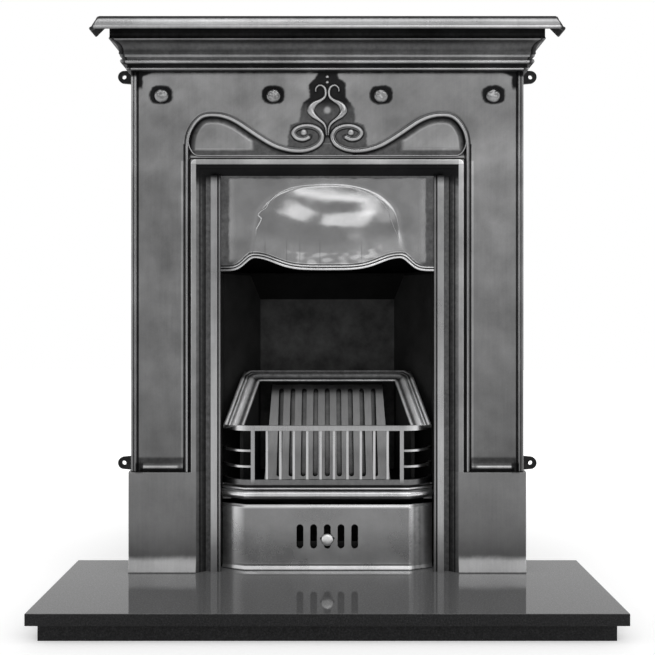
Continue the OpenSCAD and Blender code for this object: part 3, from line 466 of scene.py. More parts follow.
def front_curve():
    """The thin line's and the whiplash's middle line, as one curve from the plinth to the scroll's eye."""
    straight = [(-LINE_X, PLINTH_TOP), (-LINE_X, 900), (-LINE_X, 960), (-LINE_X, 990)]
    return np.vstack([np.array(straight, float), spline(WHIPLASH, 6)])


def bud_curve():
    """The bud's middle line."""
    return spline([p[:2] for p in BUD], 6)


def whiplash_height(ax):
    """Height of the whiplash line's long sweep at a distance from the middle."""
    sweep = sorted((-x, z) for x, z in WHIPLASH[:SWEEP_POINTS])
    return np.interp(ax, *zip(*sweep))


def raised_edge(ax, z):
    """Signed distance past the edge of the raised plinths and frame band, negative on them."""
    qx, qz = ax - (BAND_OUT - BAND_CORNER), z - (BAND_TOP - BAND_CORNER)
    band = np.hypot(np.maximum(qx, 0), np.maximum(qz, 0)) + np.minimum(np.maximum(qx, qz), 0) - BAND_CORNER
    return np.minimum(band, z - PLINTH_TOP)


def cove_fall(ax, z):
    """How far into the cove a point lies, 0 on the frame band and 1 at the opening, and the same for its head."""
    side = np.clip((BAND_IN - ax) / (BAND_IN - OPENING_HALF), 0, 1)
    head = np.clip((BAND_BASE - z) / (BAND_BASE - OPENING_TOP), 0, 1)
    return np.minimum(side, head), head


def front_surface(x, z):
    """y of the front at x, z, with how polished it is and how light its metal, both with painted light and shade in
    them.
    """
    ax = np.abs(x)
    edge = raised_edge(ax, z)
    fall, head_fall = cove_fall(ax, z)
    line_d = curve_distance(-ax, z, front_curve())
    bud_d = curve_distance(-ax, z, bud_curve())
    eye_d = np.hypot(ax + SCROLL_EYE[0], z - SCROLL_EYE[1])
    foot_span = between(ax, *FOOT_SPAN, 1.0)
    rough = cloud(x, z, 16.0, 3.0) + 0.6 * cloud(x, z, 6.0, 9.0)
    slow = cloud(x, z, 120.0, 5.0)

    # the panel between the ledge and the whiplash, its polished patch, and the ground above the whiplash
    sweep = whiplash_height(ax)
    under = between(z, LEDGE_Z + 2, sweep - 2, 2.0) * smooth(328, 322, ax)
    patch = smooth(0, 7, np.minimum(np.minimum(line_d - 14, z - 982), (ax - 170) * 0.7)) * under
    ground = 1 - smooth(-2.5, 2.5, ax - np.interp(z, *GROUND) + 3.0 * rough)
    ground = ground * smooth(-2, 2, z - sweep)
    bud_heart = 1 - smooth(4, 13, np.hypot(ax, z - BUD_MIDDLE))

    # relief out of the panel
    beads = np.maximum(*(ridge(ax - at, half, height) for at, half, height in EDGE_BEADS))
    beads = beads * smooth(0, 1, z - PLINTH_TOP) - 2.0 * between(ax, 441.5, 443.5, 1.5)
    sill = 3.5 * np.clip((270 - z) / 18, 0, 1) ** 2 * smooth(239.5, 241, z)
    foot = np.maximum(sill, ridge(z - 245, 4.5, 4.8)) * (z < 275) - 2.0 * between(z, 236, 239.5, 1.0)
    beside_line = -2.0 * (1 - smooth(5.5, 8.5, line_d)) - 1.6 * under * smooth(4, 8, line_d) + 2.2 * patch
    over_band = -1.0 * between(z, BAND_TOP, BAND_TOP + 5, 1.2) * (ax < 322)
    relief = 0.35 * slow + beads + beside_line + foot * foot_span + over_band
    y = PANEL_FACE - relief * smooth(-0.3, 0.3, edge)

    # raised band and plinths with a rounded edge; the plinth's foot flares out a little
    rounding = np.clip((edge + 2.0) / 2.0, 0, 1)
    raised = PLINTH_FACE + (PANEL_FACE - PLINTH_FACE) * (1 - np.sqrt(1 - 0.98 * rounding ** 2.6))
    y = np.where(edge < 0, raised + 0.12 * slow, y)
    outer = np.clip((ax - PLINTH_HALF + 2.5) / 2.5, 0, 1)
    y = y + 2.2 * (1 - np.sqrt(1 - 0.98 * outer ** 2)) * (z < PLINTH_TOP)
    y = y - 3.4 * np.clip((32 - z) / 32, 0, 1) ** 1.4 * (ax > OPENING_HALF) * (z < 40)
    y = np.where(fall > 0, PLINTH_FACE + np.interp(fall, *COVE_DROP) * (CASTING_BACK - PLINTH_FACE), y)

    # where the metal was polished after casting: little in the grounds round the ornament
    ground_level = np.maximum(np.interp(z, [985, 1080, 1098], [0.32, 0.28, 0.02]), 0.9 * bud_heart)
    polish = 1 - ground + ground_level * ground
    # the black just under the whiplash line is painted shadow as well as unpolished metal
    under_level = np.where(ax < 60, 0.34, np.interp(line_d, [5, 9, 15], [0.0, 0.06, 0.32]))
    under_level = under_level * (1 - patch) + 0.95 * patch
    polish = polish * (1 - under) + under_level * under
    for boss_x in BOSS_X:
        ring = oval((ax - boss_x - 1) / 27, (z - BOSS_Z - 2) / 22, 2.6)
        polish = np.minimum(polish, smooth(0.93, 1.08, ring + 0.07 * rough))
    # darker beside the frieze's lines: unpolished metal and painted shade
    polish = np.where((line_d > 4) & (z > 960), polish * smooth(4.5, 8.0, line_d + 0.5 * rough), polish)
    # the dark at the very foot, below 2.6 mm, is a painted contact shadow
    top_line = BODY_TOP - 3.0 - 9.0 * np.clip((ax - 410) / 22, 0, 1)
    polish = polish * smooth(5.0, 9.0, eye_d + 2) * smooth(2, -2, z - top_line + 1.2 * rough) * smooth(0.5, 2.6, z)
    # each of these places is blackened by its share
    upper_corner = smooth(-3, 3, ax - 431 + 2 * rough) * smooth(1122, 1134, z + 3 * rough) * (ax < 445)
    beside_band = (z > PLINTH_TOP) & (z < BAND_TOP + 2)
    for share, where in (
            (0.8, (1 - smooth(4.5, 7.0, bud_d)) * (z > 1010)),                      # beside the bud's line
            (1.0, upper_corner),
            (0.85, between(ax, 441.5, 443.8, 1.0) * (edge > 0)),                    # inside the edge beads
            (0.5, between(ax, 450.6, 451.6, 0.6) * (edge > 0)),                     # between the edge beads
            (0.85, between(ax, 332.5, 336.0, 1.2) * (z > PLINTH_TOP) * (z < 1000)),  # outside the thin line
            (0.9, between(ax, 319.0, 323.0, 0.8) * beside_band),                    # outside the frame band
            (0.95, between(z, 236.0, 240.5, 0.8) * foot_span),                      # below the panel's foot
            (0.62, between(z, 256, 264, 7.0) * between(ax, 336, 440, 3)),           # above the foot's bead: painted shade in the hollow
            (0.9, between(ax, 430, 446, 2) * between(z, 236, 252, 6)),              # the foot's outer end
            (0.95, between(z, BAND_TOP + 0.5, BAND_TOP + 4.5, 0.8) * (ax < 321))):   # above the frame band
        polish = polish * (1 - share * where)
    polish = np.where(fall > 0, np.interp(fall, *COVE_POLISH), polish)
    # painted shade: black in the cove's head, which faces down, and on the jambs just under it
    polish = np.where((fall > 0) & (z > OPENING_TOP - 30) & (head_fall < 1.0), 0.0, polish)
    jamb_end = smooth(0, 40, OPENING_TOP - z + 6 * rough)
    polish = np.where((fall > 0) & (head_fall >= 1.0), polish * jamb_end, polish)

    # how light the polished metal is, much of it painted light and shade
    tone = 1.0 + 0.16 * slow + 0.14 * cloud(x + 0.6 * z, z - 0.3 * x, 42.0, 17.0)
    tone = (tone + 0.05 * cloud(x - z, z * 0.5, 15.0, 19.0)) * np.interp(z, *PANEL_TONE)
    for gain, where in (
            (0.28, patch),
            (0.5, bud_heart),
            (0.10, smooth(444, 446, ax) * (edge > 0)),                              # the edge beads
            (2.3, between(z, 243.0, 248.5, 1.2) * between(ax, 352, 428, 6)),        # the foot's bead: painted highlight
            (-0.33, smooth(20, 130, x) * smooth(985, 1060, z)),                     # the frieze's right half: painted shade
            (0.5, (edge > 0) & (ax > 335) & (ax < 342) & (z < 960))):               # painted highlight on the panel's inner edge
        tone = tone * (1 + gain * where)
    on_plinth = (edge < 0) & (z < PLINTH_TOP)
    tone = np.where(on_plinth, 0.84 + 0.10 * slow, tone)
    tone = np.where((edge < 0) & ~on_plinth & (ax > BAND_IN), 1.55 * tone, tone)
    tone = np.where((edge < 0) & (z > BAND_BASE), 1.6 * tone, tone)
    # painted light makes the plinths' feet lighter
    painted_foot_light = smooth(8, -6, z - (34 + 5 * slow + 2 * rough))
    tone = np.where(on_plinth & (ax > BAND_IN), tone * (1 + 2.72 * painted_foot_light), tone)
    # painted highlight along the rounded edges of the raised band and plinths
    tone = tone * np.where(edge < 0, 1 + 0.45 * between(edge, -2.2, -0.6, 0.6), 1.0)
    return y, polish, tone


def front_grid():
    """Grid lines of the front, close where its surface changes fast, in x and in z."""
    half = lines((0, 282, 2.6), (282, 315, 1.1), (315, 320, 0.5), (320, 342, 1.0), (342, 428, 3.2),
                 (428, 458, 0.85), (458, 463, 0.6))
    xs = np.concatenate([-half[:0:-1], half])
    zs = lines((0, 44, 3.7), (44, 228, 9.2), (228, 274, 0.9), (274, 900, 14), (900, 958, 1.3), (958, 966, 0.7),
               (966, 1110, 2.3), (1110, 1168, 2.3))
    for line in (OPENING_TOP, BAND_BASE):
        zs[np.argmin(np.abs(zs - line))] = line
    for line in (OPENING_HALF, BODY_HALF):
        xs[np.argmin(np.abs(xs - line))] = line
        xs[np.argmin(np.abs(xs + line))] = -line
    return xs, zs


def sheet_shell(x, y, z, keep, back_y):
    """A closed shell of the cells that keep marks in a grid, with walls and a flat back at back_y.

    Returns its mesh, and which of the grid's points are its first ones."""
    rows, cols = x.shape
    index = np.full((rows, cols), -1)
    used = np.zeros((rows, cols), bool)
    used[:-1, :-1] |= keep
    used[1:, :-1] |= keep
    used[:-1, 1:] |= keep
    used[1:, 1:] |= keep
    index[used] = np.arange(used.sum())
    points = np.stack([x[used], y[used], z[used]], axis=1)
    r, c = np.nonzero(keep)
    faces = np.stack([index[r, c], index[r, c + 1], index[r + 1, c + 1], index[r + 1, c]], axis=1)
    mesh = mesh_of("Front_sheet", points, faces)
    bm = bmesh.new()
    bm.from_mesh(mesh)
    rim = [e for e in bm.edges if e.is_boundary]
    made = bmesh.ops.extrude_edge_only(bm, edges=rim)["geom"]
    back = float(place([0, back_y, 0])[1])
    for item in made:
        if isinstance(item, bmesh.types.BMVert):
            item.co.y = back
    open_rim = [e for e in bm.edges if e.is_boundary]
    bmesh.ops.contextual_create(bm, geom=open_rim)
    bmesh.ops.recalc_face_normals(bm, faces=bm.faces)
    bm.to_mesh(mesh)
    bm.free()
    return mesh, used


def casting_rear():
    """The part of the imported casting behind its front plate: returns, top flange and wall lugs."""
    bm = node_bmesh("front_casting")
    cut = cut_plane(bm, [0, CASTING_BACK + 0.01, 0], (0, -1, 0), clear_outer=True)
    rim = [e for e in cut["geom_cut"] if isinstance(e, bmesh.types.BMEdge) and e.is_boundary]
    bmesh.ops.holes_fill(bm, edges=rim, sides=0)
    bmesh.ops.recalc_face_normals(bm, faces=bm.faces)
    return mesh_from(bm, "Casting_rear")


def add_front():
    """The front casting: its plate with all relief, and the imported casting's own rear."""
    xs, zs = front_grid()
    x, z = np.meshgrid(xs, zs)
    y, polish, tone = front_surface(x, z)
    mid_x, mid_z = np.abs(x[:-1, :-1] + x[1:, 1:]) / 2, (z[:-1, :-1] + z[1:, 1:]) / 2
    keep = ~((mid_x < OPENING_HALF) & (mid_z < OPENING_TOP)) & ~((mid_x > BODY_HALF) & (mid_z > PLINTH_TOP))
    mesh, used = sheet_shell(x, y, z, keep, CASTING_BACK)
    extra = len(mesh.vertices) - used.sum()
    set_attribute(mesh, "polish", np.concatenate([polish[used], np.zeros(extra)]))
    set_attribute(mesh, "tone", np.concatenate([tone[used], np.ones(extra)]))
    link_piece("Front_casting_face", mesh, "front", "front_casting", 40)
    link_piece("Front_casting_returns", casting_rear(), "black", "front_casting", 30)


# A ribbon's section: share of its half width, and share of its height
PLAIN_SECTION = [(-1.0, 0.0), (-0.9, 0.38), (-0.66, 0.72), (-0.34, 0.94), (0.0, 1.0),
                 (0.34, 0.94), (0.66, 0.72), (0.9, 0.38), (1.0, 0.0)]
# The long line has a small step along its outer side
STEPPED_SECTION = [(-1.0, 0.0), (-0.95, 0.34), (-0.8, 0.44), (-0.58, 0.42), (-0.46, 0.66), (-0.2, 0.94),
                   (0.1, 1.0), (0.42, 0.88), (0.72, 0.55), (0.92, 0.22), (1.0, 0.0)]


def ribbon(curve, widths, heights, section, sunk=3.5):
    """A closed moulded line along a curve in x, z, as points, faces and the height share of each point."""
    steps = np.arange(len(curve))
    ahead = curve[np.minimum(steps + 1, len(curve) - 1)] - curve[np.maximum(steps - 1, 0)]
    ahead /= np.linalg.norm(ahead, axis=1)[:, None]
    left = np.stack([-ahead[:, 1], ahead[:, 0]], axis=1)
    section = [(section[0][0], -1.0)] + section + [(section[-1][0], -1.0)]
    points, share = [], []
    for k in range(len(curve)):
        for across, up in section:
            at = curve[k] - left[k] * across * widths[k] / 2
            rise = -sunk if up < 0 else heights[k] * up
            points.append((at[0], PANEL_FACE - rise, at[1]))
            share.append(max(up, 0.0))
    return np.array(points), sleeve(len(curve), len(section)), np.array(share)


def dome(x, z, radius, rise, dimple=0.0, sides=40, rings=9, seed=0.0):
    """A round boss on the panel, its top worn and dimpled by the dimple's depth."""
    points, share = [], []
    profile = [(1.0, -0.3)] + [(math.cos(a), math.sin(a)) for a in np.linspace(0, math.pi / 2, rings + 1)]
    for out, up in profile:
        for k in range(sides):
            px, pz = on_arc(360 * k / sides, (x, z), (radius * out, radius * out))
            bump = dimple * noise.noise(Vector((px / 8.0, pz / 8.0, seed))) * smooth(0.3, 0.8, up)
            sag = dimple * 0.9 * (1 - out) ** 2 * (out < 0.7)
            points.append((px, PANEL_FACE - rise * up - float(bump) + float(sag), pz))
            share.append(max(up, 0.0))
    return np.array(points), sleeve(len(profile), sides)[:-1], np.array(share)


# The line's width at places along it, in millimetres from its foot; the last width is at its end
WHIPLASH_ALONG = [0, 740, 800, 850, 1010, 1130, 1230, 1330]
WHIPLASH_WIDTH = [8.4, 8.6, 10.4, 12.8, 14.0, 13.4, 12.6, 11.6, 6]


def add_ornament():
    """The lines, bud, dots and bosses that stand out of the frieze."""
    line = front_curve()
    reach = np.concatenate([[0], np.cumsum(np.linalg.norm(np.diff(line, axis=0), axis=1))])
    width = np.interp(reach, WHIPLASH_ALONG + [reach[-1]], WHIPLASH_WIDTH)
    height = np.interp(reach, [0, 740, 820, 1230, reach[-1]], [5.5, 5.5, 6.0, 6.0, 4.0])
    foot = spline(LOOP_FOOT, 6)
    bud = bud_curve()
    bud_width = np.interp(np.linspace(0, len(BUD) - 1, len(bud)), range(len(BUD)), [p[2] for p in BUD])
    half = [ribbon(line, width, height, STEPPED_SECTION),
            ribbon(foot, np.full(len(foot), 4.5), np.linspace(4.2, 5.0, len(foot)), PLAIN_SECTION),
            ribbon(bud, bud_width, np.interp(bud_width, [3, 6, 13], [3.0, 4.6, 6.6]), PLAIN_SECTION),
            dome(*SCROLL_EYE, 8.6, 5.5)]
    ledge = np.array([(x, LEDGE_Z) for x in np.linspace(-LEDGE_HALF + 10, LEDGE_HALF - 10, 60)])
    middle = [ribbon(ledge, np.full(60, 4.6), np.full(60, 4.2), PLAIN_SECTION),
              dome(0, 1156, 4.5, 4.0), dome(0, 1143, 4.5, 4.5)]
    points, faces, share = joined(half + [mirrored(p) for p in half] + middle)
    # painted highlight on the lines' crests; darker below the frieze
    tone = (0.70 + 1.0 * smooth(0.6, 1.0, share)) * (0.78 + 0.22 * smooth(960, 1000, points[:, 2]))
    add_piece("Frieze_ornament", [(points, faces, smooth(0.05, 0.55, share), tone)],
              "moulding", "front_casting", 50)

    middles = [(side * x, BOSS_Z) for side in (-1, 1) for x in BOSS_X]
    points, faces, share = joined([dome(x, z, 17.0, 8.8, 1.6, 48, 14, 3.0 * k) for k, (x, z) in enumerate(middles)])
    # painted highlight on the bosses' tops
    add_piece("Frieze_bosses", [(points, faces, smooth(0.02, 0.2, share), 0.62 + 0.42 * smooth(0.35, 0.9, share))],
              "moulding", "front_casting", 60)


# ---------------------------------------------------------------- cornice and shelf

def mitred_moulding(section, half, front, back, border, lifted):
    """A closed section of (projection, height) run round three sides of the piece and mitred at its corners.

    half is the half width and front the y that projections count from; border, as (width, rise), raises a
    flat margin of the first lifted points at both ends of the front. Also returns each point's place in the
    section."""
    width, rise = border
    # half of the way round, as (inset from the end, y); None is the front itself
    turn = [(0.0, back), (0.0, (back + front) / 2), (0.0, None), (width - 1.2, None), (width, None)]
    stations = [(-1, *at) for at in turn]
    stations += [(f, width + 2.0, None) for f in np.linspace(-1, 1, int(2 * half / 14.0) + 1)]
    stations += [(1, *at) for at in reversed(turn)]
    points = []
    for side, inset, y in stations:
        raised = y is None and inset < width - 0.5
        for k, (out, z) in enumerate(section):
            lift = rise if raised and 0 < k < lifted else 0.0
            points.append((side * (half + out - inset), (front - out if y is None else y) - lift, z))
    n, m = len(section), len(stations)
    return np.array(points), sleeve(m, n), np.tile(np.arange(n), m)


CORNICE_FRONT = PLINTH_FACE + 1.0       # plane that the cornice's projections count from
CORNICE_BORDER = (10.0, 1.2)            # width and rise of the flat margin at its ends


def cornice_section():
    """The cornice's section of (out, height, polish, tone), and how many of its points are its outer profile.

    The outer profile runs from its foot up, and its hollow back follows."""
    # the tones paint each part's light and shade: highlights on the beads, the big bead's lit side by lit, and
    # painted shade in the cove
    profile = [(7.0, 0, .3, 1), (8.4, 1.2, .8, 1.2), (8.8, 3.2, 1, 1.5), (8.2, 5.2, .8, 1.25), (6.6, 7.0, .4, 1),
               (6.0, 8.2, .1, 1), (6.0, 10.2, .12, 1), (11.0, 11.0, .12, 1)]
    for a in range(-80, 81, 16):
        lit = max(math.cos(math.radians(a - 25)), 0.0)
        profile.append((*on_arc(a, (14.2, 17.2), (5.4, 5.4)), lit ** 0.6, 1.15 + 1.2 * lit ** 4))
    profile += [(15.4, 23.4, .2, 1), (16.0, 25.6, .3, 1), (17.0, 27.0, .5, 1), (19.2, 27.4, .8, 1.2),
                (20.0, 28.4, .9, 1.5), (20.0, 31.0, .8, 1.2), (20.6, 32.2, .4, .9), (22.0, 33.2, .45, .8)]
    profile += [(*on_arc(a, (40.6, 38.0), (19, 22)), .55, .50) for a in range(176, 100, -8)]
    profile += [(37.6, 60.4, .5, .8), (39.6, 61.2, .8, 1.1), (40.5, 62.6, .9, 1.3), (40.2, 64.6, .6, 1.0),
                (39.2, 65.8, .1, 1), (39.0, 67.5, .05, 1), (39.0, 74.0, .12, 1.1), (39.0, 76.0, .05, 1),
                (39.0, 92.0, .08, 1)]
    hollow = [(-70, 92), (-70, 84), (13, 84), (13, 39), (-7, 37), (-7, 8), (-70, 8), (-70, 0)]
    section = profile + [(out, z, 0.0, 1.0) for out, z in hollow]
    return moved_up(section, BODY_TOP), len(profile)


def add_cornice():
    """The cornice's moulding, with a flat margin at both ends of its front."""
    section, outer_count = cornice_section()
    points, faces, place_in = mitred_moulding([s[:2] for s in section], BODY_HALF, CORNICE_FRONT,
                                              box_mm("cornice")[1].y, CORNICE_BORDER, outer_count)
    x, y, z = points.T
    polish, tone = (np.array([s[k] for s in section])[place_in] for k in (2, 3))
    inset = BODY_HALF + (CORNICE_FRONT - y) - np.abs(x)
    border_line = between(inset, CORNICE_BORDER[0] - 0.6, CORNICE_BORDER[0] + 0.6, 0.8) * (z < BODY_TOP + 64)
    polish = polish * (1 - 0.9 * border_line) * np.where(y > CORNICE_FRONT + 8, 0.6, 1.0)
    drift = cloud(x, z, 70.0, 2.0) + 0.9 * cloud(x * 0.4, z * 2.5, 26.0, 3.0)
    add_piece("Cornice_moulding", [(points, faces, polish, tone * (1.0 + 0.22 * drift))], "moulding", "cornice", 38)


# ---------------------------------------------------------------- hood

HOOD_HALF, HOOD_THICK = 249.5, 6.0
HOOD_FACE = PLINTH_FACE + 13.0          # plane of the plate round the dome, in y
HOOD_TOP = OPENING_TOP - 0.5
HOOD_LOW, WAVE_RISE, CREST_X = 701.5, 30.5, 169.5       # the waved edge: lowest height, rise, and x of its crests
BULGE_DEPTH, BULGE_HALF, BULGE_HEIGHT = 52.0, 166.0, 106.0
SHOULDER = HOOD_TOP - 21 - BULGE_HEIGHT     # where the dome's sides turn over into its round top
# The hammered line round the dome's foot, from the lower left over the top to the lower right
DOME_LINE = [(-168, 786), (-166, 800), (-160, 812), (-155, 824), (-161, 836), (-151, 846), (-143, 851), (-136, 864),
             (-120, 880), (-99, 892), (-78, 899), (-50, 903), (0, 904.5), (24, 904), (52, 900), (76, 894),
             (97, 886), (118, 873), (134, 857), (143, 841), (149, 822), (156, 804), (164, 786), (172, 769)]
SCRATCHES = [-145.0, -94.0, -63.0, -17.0, 79.0]       # fine upright scratches on the dome, in x


def hood_edge(x):
    """Height of the hood's waved lower edge."""
    d = np.abs(x) - CREST_X
    return HOOD_LOW + WAVE_RISE * np.exp(-(d / np.where(d > 0, 29.0, 64.0)) ** 2)


def hood_radius(x, z):
    """How far out a point lies on the dome: 0 in its middle and 1 on its rim."""
    u = np.abs(x) / (BULGE_HALF + np.where(z < SHOULDER, 9 * ((SHOULDER - z) / 60) ** 2, 0))
    v = np.maximum(z - SHOULDER, 0) / BULGE_HEIGHT
    return oval(u, v, 2.3)


def hood_plate(x, z, r=None):
    """y of the hood's plate without its lip, line and unevenness; its foot is crisp above and soft at its sides."""
    r = hood_radius(x, z) if r is None else r
    lean = 0.72 + 0.28 * (HOOD_TOP - z) / (HOOD_TOP - HOOD_LOW)
    share = 1 - r ** 1.75
    fillet = 0.03 + 0.16 * smooth(SHOULDER + 30, SHOULDER - 50, z)
    swell = (share + np.sqrt(share ** 2 + fillet ** 2)) / 2 - 0.5 * fillet * smooth(1.1, 1.5, r)
    return HOOD_FACE - BULGE_DEPTH * lean * swell * smooth(1.55, 1.15, r)


def hood_surface(x, z):
    """y of the hood at x, z, with how polished it is and how light its metal, much of that painted light."""
    edge = hood_edge(x)
    slope = hood_edge(x + 0.5) - hood_edge(x - 0.5)
    above = (z - edge) / np.sqrt(1 + slope ** 2)
    ripple = cloud(x, z, 26.0, 4.0)
    r = hood_radius(x, z) + 0.010 * ripple * smooth(-60, -150, x)
    flat = smooth(0.98, 1.02, r)        # 1 on the plate round the dome
    dent = 1.0 * cloud(x, z, 70.0, 6.0) + 0.35 * cloud(x, z, 28.0, 8.0)
    lip = np.maximum(ridge(above - 3.2, 3.8, 5.0), ridge(above - 9.8, 2.6, 3.4))
    groove = 0.9 * np.exp(-((above - 13.6) / 1.5) ** 2)
    y = hood_plate(x, z, r) - lip + groove - 0.5 * dent * (above > 14)
    rough = cloud(x, z, 12.0, 14.0)
    # the plate's ragged border stayed black
    margin = smooth(0, 5, 232 - np.abs(x) + 2.2 * ripple + 1.5 * rough)
    margin = margin * smooth(0, 4, HOOD_TOP - 5 - z + 2.0 * ripple)
    margin = margin * (1 - smooth(204, 226, np.abs(x)) * smooth(30, 18, z - edge + 3 * ripple))
    polish = 0.24 + 0.76 * margin
    # painted light: the dome lighter towards its lower edge
    on_dome = 1.02 + 0.42 * smooth(74, 34, above)
    tone = on_dome * (1 - flat) + (1.20 + 0.16 * dent) * flat
    tone = tone * (1 + 0.22 * margin * smooth(212, 226, np.abs(x)) * flat)
    # painted reflections: light streaks across the dome's lower part
    painted_streak = between(above, 17, 38, 5) * smooth(118, 88, np.abs(x - 15))
    painted_streak = painted_streak * smooth(-0.15, 0.30, cloud(x, z * 2.2, 24.0, 51.0))
    tone = tone * (1 + 0.75 * painted_streak * (1 - flat))
    # a painted highlight along the dome's foot
    tone = tone + 0.22 * np.exp(-((r - 1.035) / 0.03) ** 2)
    for at in SCRATCHES:
        tone = tone * (1 - 0.36 * np.exp(-((x - at) / 0.8) ** 2) * smooth(SHOULDER - 14, SHOULDER - 46, z))
    lipped = smooth(15.5, 14.5, above)
    polish = polish * (1 - lipped) + np.maximum(polish, 0.9 * smooth(-248, -205, x)) * lipped
    polish = polish * (1 - 0.92 * between(above, 6.2, 7.4, 0.7)) * (1 - 0.85 * between(above, 12.6, 14.4, 0.9))
    # painted highlight on the lip
    tone = np.where(above < 14, 2.1, tone)
    return y, np.clip(polish, 0, 1), tone


def dome_line():
    """A thin hammered line that follows the dome's foot."""
    curve = spline(DOME_LINE, 8)
    steps = np.arange(len(curve))
    uneven = cloud(curve[:, 0], curve[:, 1], 9.0, 21.0)
    ends = np.minimum(1, np.minimum(steps, len(curve) - 1 - steps) / 14)
    left = smooth(-40, -120, curve[:, 0])
    curve = curve + np.stack([uneven * 1.6 * left, uneven * 1.0 * left], axis=1)
    width = (2.1 + 0.9 * left * (1 + uneven)) * (0.3 + 0.7 * ends)
    points, faces, share = ribbon(curve, width, (0.8 + 0.5 * left) * ends + 0.05, PLAIN_SECTION, 1.5)
    points[:, 1] += hood_plate(points[:, 0], points[:, 2]) - PANEL_FACE
    return points, faces, share


def add_hood():
    """The hood: its front and back as grids of points closed round their rim, with the hammered line."""
    xs = lines((-HOOD_HALF, HOOD_HALF, 2.2))
    xs = np.unique(np.concatenate([xs, [at + d for at in SCRATCHES for d in (-0.9, 0, 0.9)]]))
    rise = np.concatenate([np.linspace(0, 0.080, 24), np.linspace(0.090, 1.0, 88)])
    x = np.tile(xs, (len(rise), 1))
    low = hood_edge(x)
    z = low + (HOOD_TOP - low) * rise[:, None]
    y, polish, tone = hood_surface(x, z)
    points = [np.stack([x, depth, z], axis=2).reshape(-1, 3) for depth in (y, hood_plate(x, z) + HOOD_THICK)]
    n = x.size
    index = np.arange(n).reshape(x.shape)
    quads = np.stack([index[:-1, :-1], index[:-1, 1:], index[1:, 1:], index[1:, :-1]], axis=2).reshape(-1, 4)
    ring = list(index[0, :]) + list(index[1:, -1]) + list(index[-1, -2::-1]) + list(index[-2:0:-1, 0])
    faces = list(quads) + list(quads[:, ::-1] + n)
    faces += [(b, a, a + n, b + n) for a, b in zip(ring, ring[1:] + ring[:1])]
    plate = (np.vstack(points), faces, np.concatenate([polish.ravel(), np.zeros(n)]),
             np.concatenate([tone.ravel(), np.ones(n)]))
    line_points, line_faces, share = dome_line()
    # painted highlight on the line's crest, weaker towards its right end
    line_tone = (1.1 + 0.9 * share) * (1 - 0.35 * smooth(40, 110, line_points[:, 0]))
    line = (line_points, line_faces, np.ones(len(share)), line_tone)
    add_piece("Hood_canopy", [plate, line], "hood", "hood", 60)
    ears = node_part("hood", lambda p: abs(p[0]) > HOOD_HALF - 12 and p[1] > HOOD_FACE + 2.9)
    if ears:
        link_piece("Hood_ears", ears, "black", "hood", 30)


# ---------------------------------------------------------------- mouldings swept along a path

def swept(path, section, end, scales=None, along=24.0):
    """A closed section of (out, height, polish, tone) swept along an open path in a plane, with mitred corners.

    Out counts to the right of the way along the path; end is the direction along which both ends are cut, and
    scales widens or narrows the section on each stretch of the path."""
    path = np.array(path, float)
    ways = np.diff(path, axis=0)
    lengths = np.linalg.norm(ways, axis=1)
    ways = ways / lengths[:, None]
    normals = np.stack([-ways[:, 1], ways[:, 0]], axis=1)
    scales = scales or [1.0] * len(ways)
    outs = np.array([-q[0] for q in section])
    stations = []
    for k in range(len(path)):
        if k in (0, len(path) - 1):
            stretch = -1 if k else 0
            shifts = np.outer(outs * scales[stretch] / np.dot(end, normals[stretch]), end)
        else:
            wanted = np.stack([outs * scales[k - 1], outs * scales[k]])
            shifts = np.linalg.solve(normals[k - 1:k + 1], wanted).T
        stations.append(path[k] + shifts)
    rows = []
    for k in range(len(ways)):
        count = max(int(lengths[k] / along), 1)
        rows += [stations[k] * (1 - j / count) + stations[k + 1] * (j / count) for j in range(count)]
    rows.append(stations[-1])
    _, heights, polish, tone = zip(*section)
    points = np.array([(x, y, h) for row in rows for (x, y), h in zip(row, heights)])
    return points, sleeve(len(rows), len(section)), np.tile(polish, len(rows)), np.tile(tone, len(rows))


def prism(outline, low, high):
    """A flat plate with an outline in x, y, as (points, faces, polish, tone)."""
    n = len(outline)
    points = np.array([(x, y, z) for z in (low, high) for x, y in outline], float)
    return points, sleeve(2, n), np.ones(2 * n), np.ones(2 * n)


def on_slope(points, foot, top):
    """Points of (x, way up a slope, height above it), for a slope from foot to top in y and z."""
    run, climb = np.subtract(top, foot) / math.dist(foot, top)
    x, way, above = points.T
    return np.stack([x, foot[0] + way * run - above * climb, foot[1] + way * climb + above * run], axis=1)


# The shelf's edge, in heights from its top; its tones paint a highlight band below the top edge and a lighter lower
# bead
SHELF_SECTION = [(-2, -32, .5, .8), (0, -29, .9, 1.6), (0, -26, 1, 2.2), (-2, -24, .9, 1.9),
                 (-4, -23, .8, 1.7), (-7.5, -16, 1, 1.9), (-9.2, -13, 1, 3.0), (-11, -9.5, 1, 4.4),
                 (-12.2, -8.4, 1, 4.2), (-13.0, -6.6, 1, 2.6), (-13.7, -4.6, .8, 1.4),
                 (-14.4, -2.8, .5, .9), (-16, 0, .4, .8),
                 (-30, 0, 1, 1), (-30, -10, 0, 1), (-27, -10, 0, 1), (-5, -32, 0, 1)]


